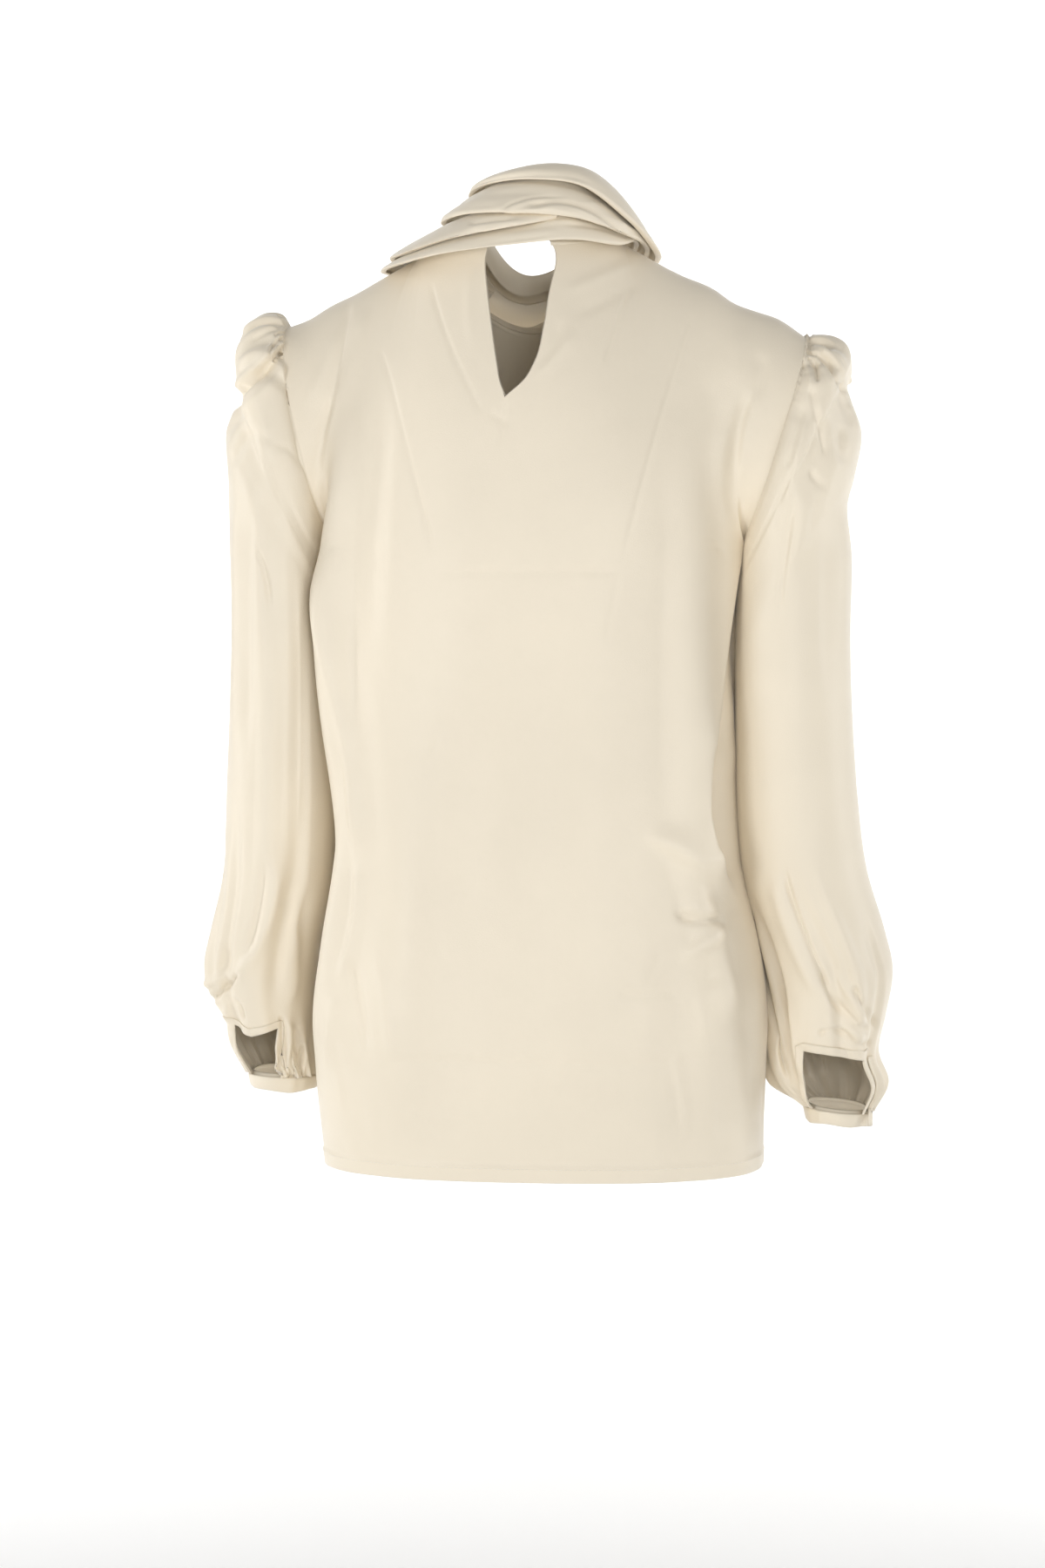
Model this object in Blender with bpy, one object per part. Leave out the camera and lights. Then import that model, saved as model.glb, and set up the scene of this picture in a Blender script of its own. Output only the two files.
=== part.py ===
"""Silk blouse with a wound scarf collar, puffed sleeve heads and slit cuffs.

Metres, +Z up. The back of the blouse faces +Y, its front faces -Y, and +X is the wearer's left.
z = 0 is the height where the shoulder seams meet the neckline.
Every piece is one wall of cloth, worked out from the section and fold tables below.
"""
import math

import bmesh
import bpy
import numpy as np
from mathutils import Vector

COLLECTION = "silk_blouse"

# ---- driving sizes, in metres -------------------------------------------------------------
WALL = 0.0012               # thickness of the cloth
HALF_GAP = 0.00015          # each piece stops this far from the middle of a seam
HEM_TURN = 0.0105           # depth of the turned hem
HEM_STEP = 0.0007           # how far the turned hem stands out
NECK_X = 0.018              # the neck leans this far toward the left shoulder
NECK_LEAN = 0.33            # and comes back by this much for each metre of height
NECK_HALF_WIDTH = 0.072
NECK_BACK_Y = 0.070
NECK_FRONT_Y = -0.074
NECK_BACK_Z = 0.009
NECK_FRONT_Z = -0.048
CHEST_FALL = 0.30           # how straight the front and the back fall from the neckline,
BACK_FALL = 0.10            # 0 for a round chest and 1 for a flat slope
COLLAR_Y = 0.004            # the collar's axis, from the plane of the side seams
# Inner side of the top roll: how far in and how far down its rows lie from the upper line.
ROLL_INSIDE = ((0.0010, 0.0160), (0.0020, 0.0080), (0.0012, 0.0015))
CUFF_DEPTH = 0.013          # height of the cuff bands
CUFF_WALL = 0.0016
BINDING_WAY = 0.013         # width of the strip above a slit, as a share of the sleeve
BINDING_LIFT = 0.0020       # of its outer face from the sleeve
TIE_DROPS = (-0.004, 0.003, 0.009)      # of the loose tie end, below the top of the cuff

# ---- how finely the walls are divided -----------------------------------------------------
PANEL_COLUMNS = 22          # from side seam to side seam, an even number
NECK_COLUMNS = (5, 16)      # the columns that end at the two neck points
PANEL_ROWS_LOW = 10         # hem to underarm
PANEL_WAYS_HIGH = (0.08, 0.17, 0.26, 0.33, 0.37, 0.42, 0.48, 0.55, 0.64, 0.73, 0.82, 0.91, 1.0)
SLEEVE_COLUMNS = 18         # round half a sleeve
SLEEVE_ROWS = 20
COLLAR_COLUMNS = 32
CUFF_COLUMNS = 30


def table(names, rows):
    """A table with named columns, each column an array."""
    return {name: np.array(column, float) for name, column in zip(names.split(), zip(*rows))}


# Level sections of the body, from the hem up to the underarm.
BODY = table("z left right back front back_square front_square", [
    (-0.6600, 0.1625, -0.1580, 0.110, -0.106, 2.5, 2.4),
    (-0.6000, 0.1690, -0.1585, 0.113, -0.109, 2.6, 2.4),
    (-0.5550, 0.1720, -0.1575, 0.114, -0.111, 2.7, 2.4),
    (-0.5000, 0.1640, -0.1500, 0.111, -0.112, 2.8, 2.4),
    (-0.4500, 0.1560, -0.1390, 0.107, -0.112, 2.9, 2.4),
    (-0.3900, 0.1535, -0.1345, 0.103, -0.113, 2.9, 2.4),
    (-0.3300, 0.1540, -0.1340, 0.101, -0.116, 2.8, 2.4),
    (-0.2700, 0.1545, -0.1340, 0.102, -0.121, 2.7, 2.4),
    (-0.2100, 0.1535, -0.1355, 0.104, -0.124, 2.6, 2.4),
])

# Shoulder seams, from the armhole in to the neckline.
SHOULDER_LEFT = table("x z", [
    (0.1914, -0.0480), (0.1747, -0.0415), (0.1594, -0.0320), (0.1390, -0.0222),
    (0.1230, -0.0130), (0.0900, 0.0060)])
SHOULDER_RIGHT = table("x z", [
    (-0.1875, -0.0575), (-0.1690, -0.0445), (-0.1530, -0.0388), (-0.1357, -0.0320),
    (-0.1222, -0.0222), (-0.0980, -0.0115), (-0.0540, 0.0130)])

# Teardrop slit at the centre back, by the share of the way from underarm to neckline.
KEYHOLE = table("way left right", [
    (0.330, 0.0190, 0.0190), (0.370, 0.0235, 0.0060), (0.420, 0.0262, -0.0020),
    (0.520, 0.0305, -0.0078), (0.640, 0.0345, -0.0110), (0.780, 0.0372, -0.0150),
    (1.000, 0.0330, -0.0100)])

# Folds of the body, as soft ridges (height above 0) and troughs (below 0).
# turn is the angle round the body: 0 left side, 90 centre back, 180 right side, 270 front.
FOLDS = table("turn_top turn_low z_top z_low spread height", [
    (21.0, 24.0, -0.110, -0.430, 12.0, 0.0190),     # edge of the back over the left sleeve
    (40.0, 40.0, -0.070, -0.330, 10.0, -0.0045),
    (30.0, 24.0, -0.370, -0.600, 9.0, 0.0060),      # bright upright edge above the left hip
    (17.0, 12.0, -0.390, -0.600, 7.0, -0.0050),
    (148.0, 145.0, -0.110, -0.470, 9.0, 0.0105),    # edge of the back over the right sleeve
    (162.0, 160.0, -0.160, -0.460, 8.0, -0.0095),
    (140.0, 152.0, -0.400, -0.560, 8.0, 0.0045),
    (38.0, 44.0, -0.420, -0.680, 9.0, -0.0028),     # long soft folds down to the hem
    (54.0, 58.0, -0.350, -0.680, 11.0, 0.0030),
    (132.0, 138.0, -0.450, -0.680, 10.0, -0.0032),
    (150.0, 158.0, -0.480, -0.680, 9.0, 0.0030),
    (76.0, 70.0, -0.300, -0.640, 14.0, -0.0018),
    (112.0, 108.0, -0.250, -0.620, 16.0, 0.0016),
    (205.0, 208.0, -0.160, -0.640, 12.0, 0.0050),   # front, plain soft folds
    (232.0, 226.0, -0.220, -0.680, 12.0, -0.0040),
    (258.0, 254.0, -0.150, -0.620, 14.0, 0.0030),
    (284.0, 290.0, -0.180, -0.660, 13.0, -0.0035),
    (312.0, 316.0, -0.200, -0.680, 12.0, 0.0045),
    (336.0, 334.0, -0.160, -0.600, 11.0, -0.0040),
])

# Rings of the sleeves. Each runs from a point on the outer line of the arm to one on the
# inner line, with the middle of its depth at y and half its depth to either side.
SLEEVE_LEFT = table("out_x out_z in_x in_z y back front square", [
    (0.1917, -0.0470, 0.1556, -0.2070, 0.000, 0.0560, 0.0560, 2.1),
    (0.1955, -0.0395, 0.1566, -0.2110, 0.000, 0.0590, 0.0590, 2.1),
    (0.2045, -0.0378, 0.1574, -0.2155, 0.000, 0.0625, 0.0625, 2.1),
    (0.2140, -0.0410, 0.1580, -0.2200, 0.000, 0.0645, 0.0645, 2.1),
    (0.2235, -0.0490, 0.1585, -0.2250, 0.000, 0.0655, 0.0655, 2.1),
    (0.2298, -0.0610, 0.1588, -0.2310, -0.001, 0.0655, 0.0655, 2.1),
    (0.2295, -0.0800, 0.1590, -0.2380, -0.001, 0.0645, 0.0645, 2.1),
    (0.2270, -0.0960, 0.1590, -0.2460, -0.001, 0.0635, 0.0635, 2.1),
    (0.2345, -0.1110, 0.1588, -0.2550, -0.002, 0.0630, 0.0630, 2.2),
    (0.2388, -0.1270, 0.1585, -0.2660, -0.002, 0.0630, 0.0630, 2.2),
    (0.2368, -0.1600, 0.1580, -0.2820, -0.003, 0.0625, 0.0625, 2.2),
    (0.2362, -0.2050, 0.1570, -0.3060, -0.004, 0.0610, 0.0610, 2.2),
    (0.2350, -0.2650, 0.1565, -0.3350, -0.006, 0.0600, 0.0600, 2.2),
    (0.2375, -0.3300, 0.1562, -0.3720, -0.009, 0.0590, 0.0590, 2.2),
    (0.2405, -0.3900, 0.1565, -0.4120, -0.012, 0.0585, 0.0585, 2.2),
    (0.2430, -0.4500, 0.1600, -0.4600, -0.016, 0.0580, 0.0580, 2.2),
    (0.2500, -0.4900, 0.1690, -0.4960, -0.018, 0.0575, 0.0575, 2.2),
    (0.2555, -0.5180, 0.1735, -0.5240, -0.020, 0.0560, 0.0560, 2.2),
    (0.2525, -0.5400, 0.1752, -0.5450, -0.021, 0.0535, 0.0535, 2.2),
    (0.2430, -0.5590, 0.1760, -0.5640, -0.022, 0.0490, 0.0490, 2.2),
    (0.2390, -0.5780, 0.1760, -0.5820, -0.022, 0.0430, 0.0430, 2.2),
    (0.2270, -0.6000, 0.1745, -0.6020, -0.022, 0.0345, 0.0345, 2.2),
])
SLEEVE_RIGHT = table("out_x out_z in_x in_z y back front square", [
    (-0.1878, -0.0572, -0.1376, -0.2130, 0.000, 0.0560, 0.0560, 2.1),
    (-0.1920, -0.0545, -0.1384, -0.2170, 0.000, 0.0595, 0.0595, 2.1),
    (-0.1995, -0.0550, -0.1388, -0.2215, 0.000, 0.0630, 0.0630, 2.1),
    (-0.2090, -0.0582, -0.1390, -0.2265, 0.000, 0.0650, 0.0650, 2.1),
    (-0.2180, -0.0650, -0.1390, -0.2320, 0.000, 0.0660, 0.0660, 2.1),
    (-0.2222, -0.0760, -0.1388, -0.2380, -0.001, 0.0660, 0.0660, 2.1),
    (-0.2190, -0.0910, -0.1386, -0.2450, -0.001, 0.0650, 0.0650, 2.1),
    (-0.2235, -0.1070, -0.1384, -0.2530, -0.001, 0.0640, 0.0640, 2.1),
    (-0.2298, -0.1290, -0.1382, -0.2630, -0.002, 0.0635, 0.0635, 2.2),
    (-0.2245, -0.1590, -0.1380, -0.2760, -0.003, 0.0630, 0.0630, 2.2),
    (-0.2195, -0.1820, -0.1378, -0.2920, -0.004, 0.0625, 0.0625, 2.2),
    (-0.2228, -0.2200, -0.1374, -0.3140, -0.005, 0.0615, 0.0615, 2.2),
    (-0.2215, -0.2750, -0.1370, -0.3420, -0.007, 0.0605, 0.0605, 2.2),
    (-0.2230, -0.3350, -0.1370, -0.3770, -0.010, 0.0600, 0.0600, 2.2),
    (-0.2268, -0.3950, -0.1378, -0.4160, -0.013, 0.0600, 0.0600, 2.2),
    (-0.2330, -0.4450, -0.1435, -0.4560, -0.016, 0.0600, 0.0600, 2.2),
    (-0.2460, -0.4900, -0.1550, -0.4960, -0.019, 0.0595, 0.0595, 2.2),
    (-0.2520, -0.5200, -0.1600, -0.5260, -0.021, 0.0585, 0.0585, 2.2),
    (-0.2470, -0.5520, -0.1615, -0.5580, -0.022, 0.0560, 0.0560, 2.2),
    (-0.2410, -0.5790, -0.1620, -0.5850, -0.023, 0.0510, 0.0510, 2.2),
    (-0.2470, -0.6020, -0.1680, -0.6030, -0.023, 0.0450, 0.0450, 2.2),
    (-0.2360, -0.6230, -0.1860, -0.6180, -0.023, 0.0340, 0.0340, 2.2),
])
ARMHOLE_BOW = {1: 0.004, -1: 0.011}     # how far the armhole bows toward the arm, by side

# Folds of the sleeves. turn: 0 outer line, 90 back, 180 inner line, 270 front.
# way: share of the sleeve's rings passed, 0 at the armhole and 1 at the cuff.
SLEEVE_FOLDS_LEFT = table("turn_top turn_low way_top way_low spread height", [
    (4.0, -2.0, 0.00, 0.26, 9.0, 0.0045),
    (19.0, 14.0, 0.00, 0.24, 6.0, -0.0050),
    (32.0, 25.0, 0.00, 0.30, 7.0, 0.0042),
    (45.0, 34.0, 0.00, 0.24, 6.0, -0.0045),
    (57.0, 36.0, 0.00, 0.36, 8.0, 0.0045),
    (72.0, 20.0, 0.00, 0.48, 9.0, -0.0080),         # deep slanting fold under the puff
    (96.0, 70.0, 0.10, 0.60, 14.0, 0.0030),
    (-14.0, -16.0, 0.00, 0.24, 6.0, -0.0046),
    (-28.0, -26.0, 0.00, 0.32, 7.0, 0.0044),
    (-42.0, -38.0, 0.00, 0.26, 6.0, -0.0048),
    (-56.0, -48.0, 0.00, 0.38, 8.0, 0.0046),
    (-72.0, -50.0, 0.00, 0.46, 9.0, -0.0060),
    (120.0, 112.0, 0.40, 0.95, 12.0, -0.0045),
    (86.0, 92.0, 0.50, 0.92, 13.0, 0.0035),
    (52.0, 66.0, 0.66, 0.98, 11.0, -0.0050),
    (20.0, 40.0, 0.70, 0.94, 12.0, 0.0050),
    (-60.0, -66.0, 0.45, 0.96, 14.0, 0.0040),
    (-96.0, -90.0, 0.50, 0.96, 12.0, -0.0045),
    (-130.0, -124.0, 0.40, 0.92, 14.0, 0.0030),
])
SLEEVE_FOLDS_RIGHT = table("turn_top turn_low way_top way_low spread height", [
    (6.0, 4.0, 0.00, 0.25, 9.0, 0.0045),
    (20.0, 16.0, 0.00, 0.24, 6.0, -0.0048),
    (33.0, 30.0, 0.00, 0.28, 7.0, 0.0040),
    (47.0, 22.0, 0.00, 0.38, 7.0, -0.0070),         # deep fold from the gathers to the edge
    (60.0, 46.0, 0.00, 0.34, 8.0, 0.0045),
    (74.0, 66.0, 0.00, 0.42, 8.0, -0.0040),
    (92.0, 84.0, 0.05, 0.55, 11.0, 0.0030),
    (-12.0, -14.0, 0.00, 0.24, 6.0, -0.0046),
    (-26.0, -26.0, 0.00, 0.32, 7.0, 0.0044),
    (-40.0, -38.0, 0.00, 0.26, 6.0, -0.0046),
    (-54.0, -46.0, 0.00, 0.38, 8.0, 0.0046),
    (-70.0, -50.0, 0.00, 0.46, 9.0, -0.0058),
    (150.0, 118.0, 0.72, 1.00, 10.0, -0.0100),      # dark fold that runs into the cuff
    (98.0, 60.0, 0.70, 0.96, 9.0, -0.0045),
    (76.0, 44.0, 0.70, 0.96, 9.0, 0.0040),
    (40.0, 24.0, 0.74, 0.96, 9.0, -0.0040),
    (-60.0, -66.0, 0.45, 0.96, 14.0, 0.0040),
    (-96.0, -90.0, 0.50, 0.96, 12.0, -0.0045),
    (-130.0, -124.0, 0.40, 0.92, 14.0, 0.0030),
])
WRIST_GATHERS = 15          # round each cuff
WRIST_GATHER_HEIGHT = 0.0022
WRIST_GATHER_WAY = 0.86     # share of the sleeve where they begin

# Slits above the cuffs, by side: the share of the sleeve they start at, and the turns of their
# two edges there and at the cuff.
SLIT_COLUMNS = (4, 10)      # the columns of the back half of a sleeve between which it is cut
SLIT_WAYS = {1: 0.905, -1: 0.905}
SLIT_TURNS = {1: ((52.0, 110.0), (44.0, 96.0)), -1: ((45.0, 106.0), (46.0, 128.0))}

# Stretches of the wound collar, from the outermost in. turn is the angle round the neck: 0 left,
# 90 back, 180 right, 270 front. Each stretch hangs from its upper line to its lower edge, both
# given by their distance from the neck's axis and their height.
COLLAR_ROLL = table("turn up_r up_z low_r low_z", [
    (0.0, 0.0470, 0.0480, 0.0520, 0.0440),
    (30.0, 0.0490, 0.0540, 0.0590, 0.0490),
    (60.0, 0.0510, 0.0605, 0.0640, 0.0525),
    (90.0, 0.0520, 0.0655, 0.0680, 0.0530),
    (120.0, 0.0520, 0.0640, 0.0730, 0.0480),
    (150.0, 0.0505, 0.0570, 0.0850, 0.0270),
    (180.0, 0.0490, 0.0480, 0.0985, 0.0060),
    (200.0, 0.0530, 0.0400, 0.1030, 0.0015),
    (225.0, 0.0560, 0.0200, 0.1100, -0.0150),
    (270.0, 0.0640, -0.0050, 0.1080, -0.0330),
    (315.0, 0.0560, 0.0240, 0.0740, 0.0150),
    (360.0, 0.0470, 0.0480, 0.0520, 0.0440),
])
COLLAR_WRAP = table("turn up_r up_z low_r low_z", [
    (0.0, 0.0525, 0.0352, 0.0670, 0.0270),
    (30.0, 0.0548, 0.0445, 0.0725, 0.0272),
    (60.0, 0.0568, 0.0515, 0.0780, 0.0287),
    (90.0, 0.0580, 0.0545, 0.0805, 0.0275),
    (120.0, 0.0605, 0.0500, 0.0835, 0.0240),
    (150.0, 0.0625, 0.0390, 0.0865, 0.0150),
    (180.0, 0.0620, 0.0330, 0.0890, 0.0110),
    (200.0, 0.0660, 0.0265, 0.0940, 0.0060),
    (225.0, 0.0740, 0.0060, 0.1020, -0.0140),
    (270.0, 0.0860, -0.0260, 0.1100, -0.0500),
    (315.0, 0.0690, 0.0100, 0.0920, 0.0000),
    (360.0, 0.0525, 0.0352, 0.0670, 0.0270),
])
COLLAR_LEFT = table("turn up_r up_z low_r low_z", [
    (-70.0, 0.0788, -0.0181, 0.0896, -0.0271),
    (-45.0, 0.0780, -0.0020, 0.0975, -0.0160),
    (-20.0, 0.0695, 0.0145, 0.0985, -0.0020),
    (0.0, 0.0640, 0.0222, 0.0990, 0.0020),
    (30.0, 0.0655, 0.0252, 0.0955, 0.0020),
    (60.0, 0.0685, 0.0295, 0.0895, 0.0100),
    (90.0, 0.0690, 0.0300, 0.0850, 0.0180),
    (110.0, 0.0686, 0.0306, 0.0770, 0.0240),
])
COLLAR_UNDER = table("turn up_r up_z low_r low_z", [
    (0.0, 0.0840, 0.0050, 0.1035, -0.0065),
    (30.0, 0.0800, 0.0080, 0.0985, -0.0060),
    (60.0, 0.0770, 0.0140, 0.0930, -0.0010),
    (90.0, 0.0755, 0.0195, 0.0885, 0.0040),
    (120.0, 0.0745, 0.0230, 0.0860, 0.0085),
    (150.0, 0.0740, 0.0190, 0.0840, 0.0075),
    (180.0, 0.0735, 0.0200, 0.0805, 0.0140),
    (200.0, 0.0755, 0.0165, 0.0840, 0.0105),
    (225.0, 0.0800, -0.0020, 0.0900, -0.0120),
    (270.0, 0.0920, -0.0450, 0.1050, -0.0680),
    (315.0, 0.0850, -0.0130, 0.0960, -0.0260),
    (340.0, 0.0860, 0.0000, 0.0990, -0.0090),
    (360.0, 0.0840, 0.0050, 0.1035, -0.0065),
])
# Cross-section of a stretch: the share of the way from its upper line to its edge, a shift
# along it, and how far the cloth stands out, as a fixed part and a share of the swell.
STRETCH = table("share shift out swell", [
    (0.00, -0.0040, -0.0018, 0.0),
    (0.00, 0.0005, -0.0006, 0.2),
    (0.28, 0.0000, 0.0000, 0.8),
    (0.55, 0.0000, 0.0000, 1.0),
    (0.80, 0.0000, 0.0000, 0.8),
    (1.00, -0.0008, 0.0000, 0.2),
    (1.00, -0.0002, -0.0014, 0.0),
    (1.00, -0.0034, -0.0030, 0.0),
])
COLLAR_SWELL = {"roll": 0.0028, "wrap": 0.0024, "left": 0.0020, "under": 0.0010}

COLOURS = table("row red green blue roughness", [
    (0, 0.845, 0.765, 0.635, 0.46),     # body and sleeves
    (1, 0.850, 0.770, 0.640, 0.44),     # collar
    (2, 0.830, 0.750, 0.615, 0.50),     # cuffs, bindings and tie
])


# ---- curves -------------------------------------------------------------------------------
def smooth(knots, values, at):
    """A smooth curve through the values of a column."""
    knots, values, at = np.asarray(knots), np.asarray(values), np.asarray(at, float)
    if knots[0] > knots[-1]:
        knots, values = knots[::-1], values[::-1]
    slopes = np.gradient(values, knots)
    i = np.clip(np.searchsorted(knots, at) - 1, 0, len(knots) - 2)
    span = knots[i + 1] - knots[i]
    t = np.clip((at - knots[i]) / span, 0.0, 1.0)
    rise = t * t * (3.0 - 2.0 * t)
    start = span * slopes[i] * t * (1.0 - t) ** 2
    end = span * slopes[i + 1] * t * t * (t - 1.0)
    return values[i] * (1.0 - rise) + values[i + 1] * rise + start + end


def step(low, high, at):
    """0 below low, 1 above high, smooth between."""
    t = np.clip((np.asarray(at, float) - low) / (high - low), 0.0, 1.0)
    return t * t * (3.0 - 2.0 * t)


def signed_power(value, power):
    return np.sign(value) * np.abs(value) ** power


def by_length(points, share):
    """Points at these shares of the length of a drawn line."""
    steps = np.linalg.norm(np.diff(points, axis=0), axis=1)
    length = np.concatenate([[0.0], np.cumsum(steps)])
    length /= length[-1]
    return np.stack([np.interp(share, length, points[:, k]) for k in range(points.shape[1])], axis=1)


# ---- body panels --------------------------------------------------------------------------
def body_section(facing, z, share):
    """Points of half a level section, from the left side seam to the right one."""
    name = "back" if facing > 0 else "front"
    left, right, depth, square = (float(smooth(BODY["z"], BODY[key], z))
                                  for key in ("left", "right", name, name + "_square"))
    turn = np.linspace(0.0, math.pi, 241)
    x = (left + right) / 2 + (left - right) / 2 * signed_power(np.cos(turn), 2 / square)
    y = facing * HALF_GAP + (depth - facing * HALF_GAP) * signed_power(np.sin(turn), 2 / square)
    return by_length(np.stack([x, y, np.full_like(x, z)], axis=1), share)


def neckline(facing, turn):
    """Points of half the neckline, at angles from the left neck point to the right one."""
    depth = NECK_BACK_Y if facing > 0 else NECK_FRONT_Y
    low = NECK_BACK_Z if facing > 0 else NECK_FRONT_Z
    x = NECK_X + NECK_HALF_WIDTH * np.cos(turn)
    y = facing * HALF_GAP + (depth - facing * HALF_GAP) * np.sin(turn)
    ends = np.interp(turn, [0.0, math.pi], [SHOULDER_LEFT["z"][-1], SHOULDER_RIGHT["z"][-1]])
    return np.stack([x, y, ends + (low - ends) * np.sin(turn) ** 2], axis=1)


def top_edge(facing, share):
    """Points along the left shoulder seam, the neckline and the right shoulder seam."""
    share = np.asarray(share, float)
    first, last = (column / PANEL_COLUMNS for column in NECK_COLUMNS)
    drawn = []
    for seam in (SHOULDER_LEFT, SHOULDER_RIGHT):
        x = np.interp(np.linspace(0.0, 1.0, 24), np.linspace(0, 1, len(seam["x"])), seam["x"])
        z = smooth(seam["x"], seam["z"], x)
        drawn.append(np.stack([x, np.full_like(x, facing * HALF_GAP), z], axis=1))
    left = by_length(drawn[0], np.clip(share / first, 0.0, 1.0))
    right = by_length(drawn[1], np.clip((1.0 - share) / (1.0 - last), 0.0, 1.0))
    middle = neckline(facing, np.linspace(0.0, math.pi, 61))
    middle = by_length(middle, np.clip((share - first) / (last - first), 0.0, 1.0))
    return np.where((share < first)[:, None], left, np.where((share > last)[:, None], right, middle))


def armhole_edge(facing, side, way):
    """Points of the armhole from the underarm (way 0) up to the shoulder (way 1)."""
    turn = math.pi * (1.0 - np.asarray(way)) * facing
    points = sleeve_ring(side, 0.0, turn)
    points[:, 0] -= side * 2 * HALF_GAP
    points[:, 1] = facing * np.maximum(np.abs(points[:, 1]), HALF_GAP)
    return points


def upper_row(facing, way, share):
    """A row of a panel between the underarm and the shoulder."""
    low = body_section(facing, BODY["z"][-1], share)
    high = top_edge(facing, share)
    turn = way * math.pi / 2
    reach = 1.0 + 0.9 * np.sin(np.pi * share) ** 6
    row = low + (high - low) * way
    fall = (CHEST_FALL if facing < 0 else BACK_FALL) * np.sin(np.pi * share) ** 2
    climb = math.sin(turn) * (1.0 - fall) + way * fall
    row[:, 1] = high[:, 1] + (low[:, 1] - high[:, 1]) * math.cos(turn) ** reach
    row[:, 2] = low[:, 2] + (high[:, 2] - low[:, 2]) * climb
    return row


def panel_row(facing, level, share):
    """A row of a panel. level runs from 0 at the hem through 1 at the underarm to 2."""
    if level <= 1.0:
        z = BODY["z"][0] + (BODY["z"][-1] - BODY["z"][0]) * level
        row = body_section(facing, z, share)
    else:
        row = upper_row(facing, level - 1.0, share)
        for side, near in ((1, share), (-1, 1.0 - share)):
            end = upper_row(facing, level - 1.0, np.array([0.0 if side > 0 else 1.0]))[0]
            edge = armhole_edge(facing, side, np.array([level - 1.0]))[0]
            row += (edge - end) * (np.clip(1.0 - near / 0.30, 0.0, 1.0) ** 2)[:, None]
    return row


def fold_height(facing, share, z):
    """Height of the body folds at a place on a panel."""
    turn = share * 180.0 if facing > 0 else 360.0 - share * 180.0
    total = np.zeros_like(share)
    for top, low, z_top, z_low, spread, height in zip(*FOLDS.values()):
        way = np.clip((z_top - z) / (z_top - z_low), 0.0, 1.0)
        middle = top + (low - top) * way
        across = np.clip(np.abs(turn - middle) / spread, 0.0, 1.0)
        along = np.sin(np.pi * way) ** 0.6 if z_low > -0.67 else np.sin(np.pi / 2 * way) ** 0.7
        total += height * (0.5 + 0.5 * np.cos(np.pi * across)) * along
    return total


def normals_of(rows):
    """Outward unit normals of a grid of points, from the differences of its neighbours."""
    along = np.gradient(rows, axis=0)
    across = np.gradient(rows, axis=1)
    normal = np.cross(across, along)
    return normal / np.maximum(np.linalg.norm(normal, axis=2, keepdims=True), 1e-12)


def panel_grid(facing, levels, shares):
    """The outer face of a panel: a row of points for each level, with its folds."""
    rows = np.array([panel_row(facing, level, share) for level, share in zip(levels, shares)])
    normal = normals_of(rows) * facing
    share = np.array(shares)
    level = np.array(levels)[:, None]
    edge = step(0.0, 0.05, share) * step(0.0, 0.05, 1.0 - share) * step(0.0, 0.35, 2.0 - level)
    height = fold_height(facing, share, rows[:, :, 2]) * edge
    turned = 1.0 - step(HEM_TURN, HEM_TURN + 0.001, rows[:, :, 2] - BODY["z"][0])
    height += HEM_STEP * turned * edge
    return rows + normal * height[:, :, None]


# ---- sleeves ------------------------------------------------------------------------------
def sleeve_ring(side, way, turn):
    """Points of a sleeve ring at angles in radians, before its folds."""
    rings = SLEEVE_LEFT if side > 0 else SLEEVE_RIGHT
    at = np.clip(way, 0.0, 1.0) * (len(rings["y"]) - 1)
    index = np.arange(len(rings["y"]))
    out_x, out_z, in_x, in_z, y, back, front, square = (
        float(smooth(index, rings[key], at)) for key in rings)
    turn = np.asarray(turn, float)
    reach = signed_power(np.cos(turn), 2 / square)
    width = signed_power(np.sin(turn), 2 / square)
    depth = np.where(width > 0, back, front)
    bow = side * ARMHOLE_BOW[side] * max(0.0, 1.0 - way / 0.5) ** 1.5
    x = (out_x + in_x) / 2 + (out_x - in_x) / 2 * reach + bow * np.abs(width)
    z = (out_z + in_z) / 2 + (out_z - in_z) / 2 * reach
    return np.stack([x, y + depth * width, z], axis=1)


def sleeve_fold_height(side, way, turn):
    """Height of the sleeve folds and the gathers at the wrist, turn in degrees."""
    folds = SLEEVE_FOLDS_LEFT if side > 0 else SLEEVE_FOLDS_RIGHT
    total = np.zeros_like(turn)
    for top, low, way_top, way_low, spread, height in zip(*folds.values()):
        part = np.clip((way - way_top) / (way_low - way_top), 0.0, 1.0)
        middle = top + (low - top) * part
        away = np.abs((turn - middle + 180.0) % 360.0 - 180.0)
        across = np.clip(away / (spread * (1.0 + 0.5 * part)), 0.0, 1.0)
        if way_top > 0.0:
            along = math.sin(math.pi * part)
        else:
            along = math.sin(math.pi * min(1.0, 0.12 + 0.88 * part))
        total += height * (0.5 + 0.5 * np.cos(np.pi * across)) * along
    wave = np.cos(np.radians(turn) * WRIST_GATHERS + 0.9 * np.sin(np.radians(turn) * 2.0))
    begin = float(step(WRIST_GATHER_WAY, 0.97, way))
    return total + WRIST_GATHER_HEIGHT * wave * begin


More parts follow.
